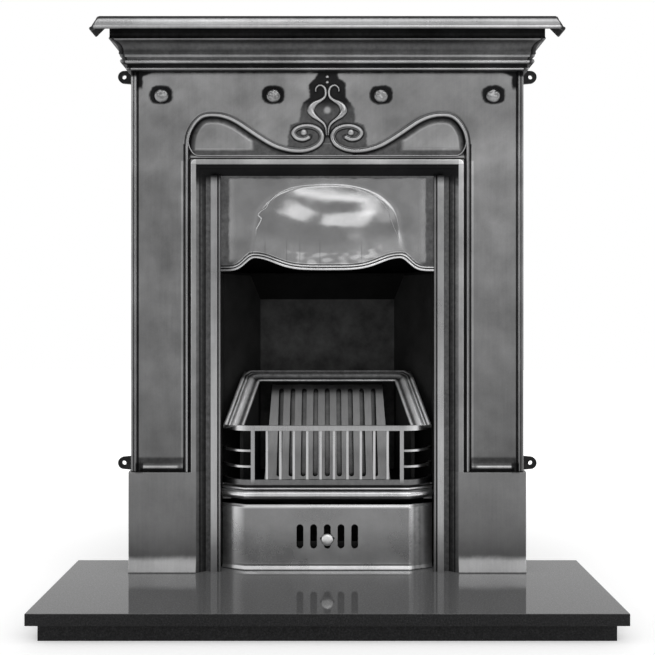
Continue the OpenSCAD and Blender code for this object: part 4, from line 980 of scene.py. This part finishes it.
def add_shelf():
    """The mantel shelf: a leaning edge with clipped corners round three sides of a plate."""
    low, high = box_mm("mantel_shelf")
    half, reach, top = high.x, -low.y, high.z
    clip = 15.5                     # the clipped corners
    rear = -reach + 62.0            # where the end lips stop, in y
    back_half = BODY_HALF + 39.5    # half width of the plate behind them
    ear = 20.0                      # radius of the notch between the two
    lip_in, lip_out = half - 29, half - 16
    path = [(-half, rear), (-half, -reach + clip), (-half + clip, -reach), (half - clip, -reach),
            (half, -reach + clip), (half, rear)]
    edge = swept(path, moved_up(SHELF_SECTION, top), (1.0, 0.0), along=7.0)
    # the clipped corners and the end lips stayed rough
    x, y, z = edge[0].T
    ends = np.maximum(smooth(half - 16.2, half - 12.5, np.abs(x)), smooth(-reach + 10, -reach + 15, y))
    edge = graded(edge, 1 - ends, 1 + 0.14 * cloud(x * 0.3, z * 3 + y, 24.0, 61.0))
    right = [(lip_in, -reach + 29), (lip_in, rear), (lip_out, rear)]
    right += [on_arc(a, (lip_out, rear + ear), (ear, ear)) for a in np.linspace(270, 180, 9)]
    right.append((back_half, 0.0))
    outline = right + [(-px, py) for px, py in reversed(right)]
    plate = prism(outline, top - 10, top)
    plate = graded(plate, plate[0][:, 2] > top - 5)
    add_piece("Mantel_shelf_casting", [edge, plate], "moulding", "mantel_shelf", 32)


RIM_FRONT, RIM_BACK = (-60.0, 340.0), (61.5, 451.7)       # y and z of the basket rim's lower plane
CHEEK_HALF, CHEEK_TURN = 252.0, -12.0


def add_rim():
    """The basket's rim: three mouldings, stepping down inwards, on a slope."""
    length = math.dist(RIM_FRONT, RIM_BACK)
    front_half = box_mm("basket_rim")[1].x
    slope = (CHEEK_HALF - box_mm("cheek_right")[0].x) / (box_mm("fireback")[0].y - CHEEK_TURN)
    back_half = CHEEK_HALF - (RIM_BACK[0] - CHEEK_TURN) * slope - 4
    # the section's tones paint highlights on the mouldings' crests
    section = [(0, 0, 0, 1), (0, 11.5, .3, 1), (1.2, 13.8, .8, 1.6), (3.6, 15.0, 1, 2.1), (6.4, 15.0, 1, 2.2),
               (8.6, 14.2, 1, 1.7), (9.8, 12.0, .12, 1), (11.2, 11.6, .12, 1), (12.4, 12.6, 1, 1.6),
               (14.6, 13.0, 1, 1.9), (16.0, 12.2, 1, 1.4), (17.0, 10.8, .12, 1), (18.4, 11.4, 1, 1.4),
               (20.5, 12.8, 1, 2.2), (25, 12.6, 1, 2.3), (29.5, 11.0, 1, 2.0), (32.5, 8.0, .7, 1.4),
               (34.6, 5.4, .15, 1), (38.5, 4.6, .1, 1), (40.5, 5.4, .7, 1.5), (43, 6.6, 1, 2.0),
               (45.6, 5.8, .9, 1.8), (47, 3.2, .2, 1), (47, 0, 0, 1)]
    cut, start = 14.0, -13.0        # the clipped corners, and how far the rim runs on below its front
    lean = (front_half - back_half) / length
    corner = [(-back_half - lean * cut, length - cut), (-back_half + cut, length)]
    path = [(-front_half, start)] + corner + [(-x, v) for x, v in reversed(corner)] + [(front_half, start)]
    rim = swept(path, section, (1.0, 0.0), [1.0, 0.85, 0.62, 0.85, 1.0], 8.0)
    x, way, height = rim[0].T
    # painted shade darkens the back rail; uneven lifts the whole rim about 3.6 times as painted light, with some
    # random unevenness
    at_back = smooth(length - 34, length - 24, way)
    inner = (height < 8) * smooth(20, 60, x)
    uneven = 3.6 + 0.8 * cloud(x, way, 14.0, 31.0)
    parts = [graded(rim, 1 - at_back * (0.62 - 0.1 * inner), (1 - 0.82 * at_back) * uneven)]
    for side in (-1, 1):
        outline = [(side * back_half, length), (side * (back_half - cut - 2), length),
                   (side * (back_half + lean * cut), length - cut - 2)]
        parts.append(graded(prism(outline, 0.0, 8.0), 0.3))
    parts = [(on_slope(part[0], RIM_FRONT, RIM_BACK), *part[1:]) for part in parts]
    add_piece("Basket_rim_moulding", parts, "rim", "basket_rim", 50)


def add_rest():
    """The moulded ledge below the bars: a big bead under a small one and a cove, with facets at both ends."""
    low, high = box_mm("bar_rest")
    front, half, back = low.y + 12.0, high.x, high.y
    facet, set_back = 191.0, 29.0
    rise = high.z - low.z
    section = [(-9, 0, 0, 1), (-9, 5, 0, 1), (1.0, 5.5, 0, 1), (3.0, 7.5, .1, 1)]
    for a in range(-70, 91, 16):
        lit = max(math.cos(math.radians(a - 8)), 0.05)
        section.append((*on_arc(a, (0.5, 15.4), (11.4, 10.2)), lit ** 0.5, 1.0 + 1.5 * lit ** 2))
    section += [(0.6, 26.2, .1, 1), (3.0, 26.8, .9, 1.4), (5.2, 29.0, 1, 2.1), (4.2, 31.4, .9, 1.5),
                (0.4, 32.6, 0, 1), (-2.0, 35.6, .1, 1), (-2.2, rise - 1.4, .3, 1), (-1.2, rise - 0.4, .9, 1.2),
                (-3.0, rise, .8, 1.0), (-20, rise, .5, 1.0), (-20, 0, 0, 1)]
    path = [(-half, front + set_back), (-facet, front), (facet, front), (half, front + set_back)]
    edge = swept(path, moved_up(section, low.z), (0.0, 1.0))
    ax = np.abs(edge[0][:, 0])
    # painted light makes the end facets up to four times lighter, with a painted highlight at the mitres
    edge = graded(edge, tone=1 + 3.0 * smooth(facet, facet + 8, ax) + 0.6 * between(ax, facet - 3, facet + 3, 4))
    inner = front + 18
    outline = [(-half, inner + set_back), (-facet, inner), (facet, inner), (half, inner + set_back),
               (half, back), (-half, back)]
    body = graded(prism(outline, low.z, high.z), 0.5)
    add_piece("Bar_rest_moulding", [edge, body], "moulding", "bar_rest", 21)


COVER_FACET, COVER_TURN = 193.6, 22.0       # where the cover's end facets start, in x, and how far they turn back


def slope_lip(mesh):
    """Leans the ash cover's lower lip back, so that it faces a little upwards."""
    low, high = box_mm("ash_cover")
    foot, rise, lean = 2.4, 6.0, 2.6        # the lip's foot and height, and how far its top leans back
    for vertex in mesh.vertices:
        x, y, z = (vertex.co - ORIGIN) / MM
        front = low.y + COVER_TURN * max(abs(x) - COVER_FACET, 0.0) / (high.x - COVER_FACET)
        if y - front < 2.9 and foot < z < 9.6:
            vertex.co.y += lean * MM * min((z - foot) / rise, 1.0)
    mesh.update()


def add_cover_lips():
    """The bright, upward-sloping edge of the ash cover's upper lip."""
    low, high = box_mm("ash_cover")
    base, rise, reach = high.z - 5.4, 4.6, 2.2
    path = [(-high.x, low.y + COVER_TURN), (-COVER_FACET, low.y), (COVER_FACET, low.y),
            (high.x, low.y + COVER_TURN)]
    # the tones paint a highlight on the lip's upward slope
    section = [(0.0, base, 1, 1.3), (-0.3, base + 0.6, 1, 2.0), (-reach, base + rise, 1, 1.7),
               (-reach - 1.2, base + rise, .5, 1), (-reach - 1.2, base, 0, 1)]
    lip = swept(path, section, (0.0, 1.0), along=14.0)
    x, _, z = lip[0].T
    on_facet = smooth(COVER_FACET + 1, COVER_FACET + 8, np.abs(x))
    uneven = 1 + 0.16 * cloud(x * 0.5, z, 20.0, 81.0)
    lip = graded(lip, 1 - 0.5 * on_facet, uneven * (1 - 0.25 * on_facet))
    add_piece("Ash_cover_lips", [lip], "cover", "ash_cover", 25, "cover")


def add_grate_backing():
    """The brick that shows in the back grate's slots, close behind it."""
    low, high = box_mm("back_grate")
    foot, top = (-55.0, low.z), (82.0, 423.0)       # the grate's slope, in y and z
    length = math.dist(foot, top)
    half_low, half_top = high.x - 3, high.x - 14
    outline = [(-half_low, 4.0), (half_low, 4.0), (half_top, length - 1), (-half_top, length - 1)]
    points, faces = prism(outline, -8.0, -5.0)[:2]
    mesh = mesh_of("Grate_backing", on_slope(points, foot, top), faces)
    outward(mesh)
    link_piece("Grate_backing_brick", mesh, "brick", "back_grate")


def add_knob():
    """The air slide's turned button on its neck."""
    low, high = box_mm("slider_knob")
    x, z = (low.x + high.x) / 2, (low.z + high.z) / 2
    r = (high.x - low.x) / 2
    profile = [(0.30 * r, 0.12), (0.6 * r, 0.6), (0.8 * r, 1.6), (0.93 * r, 3.4), (r, 6.2), (0.98 * r, 8.6),
               (0.88 * r, 10.8), (0.66 * r, 12.4), (0.4 * r, 13.2), (3.6, 13.8), (3.0, 15.0), (3.0, high.y - low.y)]
    sides = 48
    points = []
    for out, deep in profile:
        ring = [on_arc(360 * k / sides, (x, z), (out, out)) for k in range(sides)]
        points += [(px, low.y + deep, pz) for px, pz in ring]
    middle = len(points)
    faces = sleeve(len(profile), sides)
    faces.remove(tuple(range(sides - 1, -1, -1)))
    faces += [(middle, (k + 1) % sides, k) for k in range(sides)]
    mesh = mesh_of("Knob", points + [(x, low.y, z)], faces)
    outward(mesh)
    link_piece("Slider_knob_button", mesh, "knob", "slider_knob", 50, "slider")


# ---------------------------------------------------------------- copies of CAD pieces with worn edges

def node_bmesh(node):
    """A bmesh of a CAD node's mesh, its triangles joined at their corners."""
    bm = bmesh.new()
    bm.from_mesh(frame["nodes"][node].data)
    bmesh.ops.remove_doubles(bm, verts=bm.verts, dist=2e-6)
    return bm


def mesh_from(bm, name):
    """A mesh from a bmesh, which is freed."""
    mesh = bpy.data.meshes.new(name)
    bm.to_mesh(mesh)
    bm.free()
    return mesh


def cut_plane(bm, at, normal, **settings):
    """Cuts a bmesh along the plane through a place in millimetres."""
    return bmesh.ops.bisect_plane(bm, geom=bm.verts[:] + bm.edges[:] + bm.faces[:], dist=1e-7,
                                  plane_co=Vector(place(at)), plane_no=normal, **settings)


def node_part(node, wanted):
    """A mesh of the faces of a CAD node whose points in millimetres all pass a test, or None."""
    bm = node_bmesh(node)
    doomed = [f for f in bm.faces if not all(wanted((v.co - ORIGIN) / MM) for v in f.verts)]
    bmesh.ops.delete(bm, geom=doomed, context="FACES")
    if not bm.faces:
        bm.free()
        return None
    return mesh_from(bm, node + "_part")


SHARP_EDGE = 28     # degrees between two faces, above which the edge between them was worn round


def worn_copy(name, node, material, width, segments=2, rule=None, slices=(), body="fireplace"):
    """A copy of a CAD piece with every sharp edge rounded, as casting and polishing leave it.

    The rule gives each point's polish and tone from its place in millimetres and its normal; slices are places
    (axis, millimetres) where the copy gets more points, so that the rule can change there."""
    bm = node_bmesh(node)
    bmesh.ops.dissolve_limit(bm, angle_limit=math.radians(0.6), verts=bm.verts, edges=bm.edges)
    edges = [e for e in bm.edges if e.is_manifold and e.calc_face_angle(0.0) > math.radians(SHARP_EDGE)]
    bmesh.ops.bevel(bm, geom=edges, offset=width * MM, segments=segments, profile=0.5, affect="EDGES",
                    clamp_overlap=True)
    for axis, at in slices:
        cut_plane(bm, [at] * 3, [float(axis == k) for k in range(3)])
    mesh = mesh_from(bm, name)
    if rule:
        count = len(mesh.vertices)
        co, normal = np.zeros(count * 3), np.zeros(count * 3)
        mesh.vertices.foreach_get("co", co)
        mesh.vertices.foreach_get("normal", normal)
        polish, tone = rule((co.reshape(-1, 3) - np.array(ORIGIN)) / MM, normal.reshape(-1, 3))
        set_attribute(mesh, "polish", polish)
        set_attribute(mesh, "tone", tone)
    piece = link_piece(name, mesh, material, node, 45, body)
    # the rounded edges shade into the flat faces, which stay flat
    flatten = piece.modifiers.new("Weighted_normals", "WEIGHTED_NORMAL")
    flatten.weight = 100
    flatten.keep_sharp = True
    return piece


def hone_sides(slab):
    """Only the granite slab's top is polished."""
    slab.data.materials.append(MATERIALS["honed"])
    for face in slab.data.polygons:
        face.material_index = int(face.normal.z < 0.7)


def strip_rule(co, normal):
    """The inner frame: its raised strips bright, the flange behind them dark, and its head under the cove black as
    painted shade.
    """
    ax = np.abs(co[:, 0])
    proud = smooth(PLINTH_FACE + 12, PLINTH_FACE + 7, co[:, 1])
    polish = np.maximum(proud, 0.25) * smooth(OPENING_TOP - 2, OPENING_TOP - 22, co[:, 2])
    return polish, np.where(ax > 254, 1.55, 1.1)


RAIL_FOOT = 201.0       # height of the bars' lower rail


def bars_rule(co, normal):
    """The bars: bright in front, their curved ends the more so, and dark at their sides, as painted highlight and
    painted shade; the lower rail is darker.
    """
    ax, z = np.abs(co[:, 0]), co[:, 2]
    out = np.maximum(-normal[:, 1], 0.95 * normal[:, 2])
    rail = (np.abs(normal[:, 0]) < 0.05) | (ax > 181) | (z > box_mm("front_bars")[1].z - 13)
    low_rail = (z < RAIL_FOOT + 12.5) & (normal[:, 2] < 0.5)
    polish = np.where(rail, smooth(0.30, 0.75, out), smooth(0.90, 1.0, out))
    tone = np.where(rail, 1.35, np.where(ax > 160, 1.3, 2.0)) + 1.4 * smooth(178, 215, ax)
    tone = tone * (1 + 0.12 * cloud(co[:, 0], z, 12.0, 71.0))
    return np.where(low_rail, 0.8, 1.0) * polish, np.where(low_rail, 0.8, tone)


# The ash cover's tone by height, as painted light: lighter towards the bottom, with painted highlights on its lips;
# the cover gets points at all these heights but the last
COVER_TONES = [(3.2, 3.3), (9.6, 3.3), (11, 1.3), (13.4, 1.3), (15, 2.5), (18, 1.8), (24, 1.6), (34, 1.45),
               (52, 1.25), (80, 1.0), (120, 0.84), (144, 0.8), (146.5, 1.5), (149, 2.4), (154, 1.6)]
# and at these places along x, where its rule changes
COVER_PLACES = (-227.5, -225, -160, -96, -32, 32, 96, 160, 190.5, 200, 206, 212, 219, 226, 234)


def cover_rule(co, normal):
    """The ash cover: bright lips and slot edges, one end facet bright and the other dull, all painted highlight and
    painted light, with a painted contact shadow along its foot.
    """
    x, z = co[:, 0], co[:, 2]
    # painted shade on faces turned away from the front and from above, and a painted contact shadow along the foot
    out = np.maximum(-normal[:, 1], 0.8 * normal[:, 2])
    polish = smooth(0.05, 0.45, out) * smooth(1.6, 2.6, z)
    tone = np.interp(z, *zip(*COVER_TONES)) * 1.12
    tone = tone * (1 + 0.10 * cloud(x, z, 60.0, 41.0))
    slots = (np.abs(x) < 92) & (np.abs(z - 79) < 36)        # the slots' part of the face, with their edges
    # painted highlight on the slot edges
    tone = np.where(slots & (-normal[:, 1] < 0.97), 1.9, tone)
    # painted light makes the left end facet brightest, but for its darker outer edge
    left = smooth(-194.5, -196.5, x)
    tone = tone * (1 - left) + np.interp(z, [0, 60, 100, 150], [3.7, 3.6, 3.4, 3.3]) * left
    polish = polish * (1 - 0.60 * smooth(-225, -228, x))
    # the right one gets upright stripes and painted light, beside a painted highlight on its corner
    right = smooth(196.5, 198.5, x)
    tone = tone * (1 + 0.8 * between(x, 192.0, 196.0, 1.5))
    stripes = 0.62 + 0.34 * np.sin(x / 2.6) * np.sin(x / 7.7 + 1.0)
    polish = polish * (1 - right) + stripes * polish * right
    tone = tone * (1 - right) + 2.5 * right
    return np.clip(polish, 0, 1), tone


dress_nodes()
add_front()
add_ornament()
add_cornice()
add_hood()
add_shelf()
worn_copy("Inner_frame_strips", "insert_frame", "moulding", 0.8, 2, strip_rule,
          [(2, OPENING_TOP - depth) for depth in (2, 12, 22, 60)] + [(2, 300), (2, 600)])
add_rim()
worn_copy("Front_bars_casting", "front_bars", "moulding", 3.0, 4, bars_rule,
          [(2, RAIL_FOOT + 14), (2, box_mm("front_bars")[1].z - 15)])
add_rest()
cover = worn_copy("Ash_cover_casting", "ash_cover", "cover", 0.7, 2, cover_rule,
                  [(2, z) for z, _ in COVER_TONES[:-1]] + [(0, x) for x in COVER_PLACES], body="cover")
slope_lip(cover.data)
worn_copy("Back_grate_casting", "back_grate", "grate", 1.2)
add_cover_lips()
add_grate_backing()
add_knob()
hone_sides(worn_copy("Hearth_slab_polished", "hearth_slab", "granite", 1.2, 3))


# ---------------------------------------------------------------- camera, light and stage

IMAGE = 655                 # the photograph's width and height in pixels
FOCAL_PX = 871.4            # focal length in the photograph's pixels
HORIZON_PX = 312.0          # the photograph's row at the camera's own height
MIDDLE_PX = 327.3           # the photograph's column straight ahead
EYE_HEIGHT = 607            # camera above the hearth's top
EYE_DISTANCE = 2133         # camera from the wall plane
SENSOR = 36.0               # width of the camera's sensor


def add_camera():
    """The photograph's camera, level and shifted to keep uprights upright."""
    data = bpy.data.cameras.new("Camera")
    data.sensor_width = SENSOR
    data.lens = SENSOR * FOCAL_PX / IMAGE
    data.shift_y = (HORIZON_PX - IMAGE / 2) / IMAGE
    data.shift_x = (IMAGE / 2 - MIDDLE_PX) / IMAGE
    camera = bpy.data.objects.new("Camera", data)
    bpy.context.scene.collection.objects.link(camera)
    camera.location = Vector(place([0, -EYE_DISTANCE, EYE_HEIGHT]))
    camera.rotation_euler = (math.radians(90), 0, 0)
    bpy.context.scene.camera = camera


def add_softbox(name, azimuth, elevation, distance, size, radiance, roll):
    """A rectangular lamp that faces the hood from a direction in degrees, with a given brightness."""
    middle = Vector(place([0, HOOD_FACE, SHOULDER]))
    turn, rise = math.radians(azimuth), math.radians(elevation)
    towards = Vector((math.sin(turn) * math.cos(rise), -math.cos(turn) * math.cos(rise), math.sin(rise)))
    data = bpy.data.lights.new(name, "AREA")
    data.shape = "RECTANGLE"
    data.size, data.size_y = size
    data.energy = radiance * math.pi * size[0] * size[1]
    lamp = bpy.data.objects.new(name, data)
    bpy.context.scene.collection.objects.link(lamp)
    lamp.location = middle + towards * distance
    turned = towards.to_track_quat("Z", "Y") @ Quaternion((0, 0, 1), math.radians(roll))
    lamp.rotation_euler = turned.to_euler()


FLOOR_GLOW = 0.30       # what the floor adds to its own shading where it is looked at


def add_stage():
    """The white floor, which glows the more the further it is from the fireplace."""
    bpy.ops.mesh.primitive_plane_add(size=16.0, location=(0, 0, 0))
    floor = bpy.context.object
    floor.name = "Floor"
    material, graph, shader, coords = new_material("Stage_floor")
    graph.fill(shader, Base_Color=(0.80, 0.80, 0.80), Roughness=0.9, Specular_IOR_Level=0.0)
    reach = graph.add("VectorMath", operation="LENGTH", Vector=coords).outputs["Value"]
    far = graph.map_range(reach, 0.7, 2.2, FLOOR_GLOW, 0.8)
    seen = graph.math("MAXIMUM", *graph.looked_at())
    glow = graph.add("Emission", Color=(1.0, 1.0, 1.0), Strength=graph.math("MULTIPLY", seen, far))
    both = graph.add("AddShader")
    graph.put(both.inputs[0], shader.outputs["BSDF"])
    graph.put(both.inputs[1], glow.outputs["Emission"])
    graph.put(graph.nodes["Material Output"].inputs["Surface"], both.outputs["Shader"])
    floor.data.materials.append(material)


def add_world():
    """Behind the object the world is white; towards the room it is a soft grey studio."""
    world = bpy.data.worlds.new("World")
    bpy.context.scene.world = world
    world.use_nodes = True
    graph = Graph(world.node_tree)
    direction = graph.add("TexCoord").outputs["Generated"]
    parts = graph.add("SeparateXYZ", Vector=direction).outputs
    seen, glossy = graph.looked_at()
    behind = graph.math("MULTIPLY", glossy, graph.map_range(parts["Y"], -0.05, 0.25))
    studio = graph.map_range(parts["Z"], -0.30, 0.60, 0.55, 0.72)
    strength = graph.add("Mix", Factor=graph.math("MAXIMUM", seen, behind), A=studio, B=1.0)
    graph.fill(graph.nodes["Background"], Color=(1.0, 1.0, 1.0), Strength=strength.outputs["Result"])


# Name, azimuth and elevation in degrees, distance, width and height in metres, brightness, and roll
LAMPS = [("Overhead", 9, 65, 2.4, (1.9, 0.22), 3.4, -20), ("Front_right", 18, 31, 3.0, (2.25, 1.25), 1.8, -21),
         ("Front_left", -29, 40, 3.0, (0.85, 1.35), 1.9, -22), ("Front_link", 40, 41, 3.0, (0.6, 1.1), 1.9, 0),
         ("Side_glow", 52, 24, 3.0, (0.5, 0.8), 0.7, 0), ("Side_left", -80, 8, 2.6, (0.8, 2.0), 1.9, 0),
         ("Side_right", 80, 8, 2.6, (0.8, 2.0), 1.5, 0)]

add_camera()
add_stage()
add_world()
for lamp in LAMPS:
    add_softbox(*lamp)
bpy.context.scene.view_settings.view_transform = "Standard"
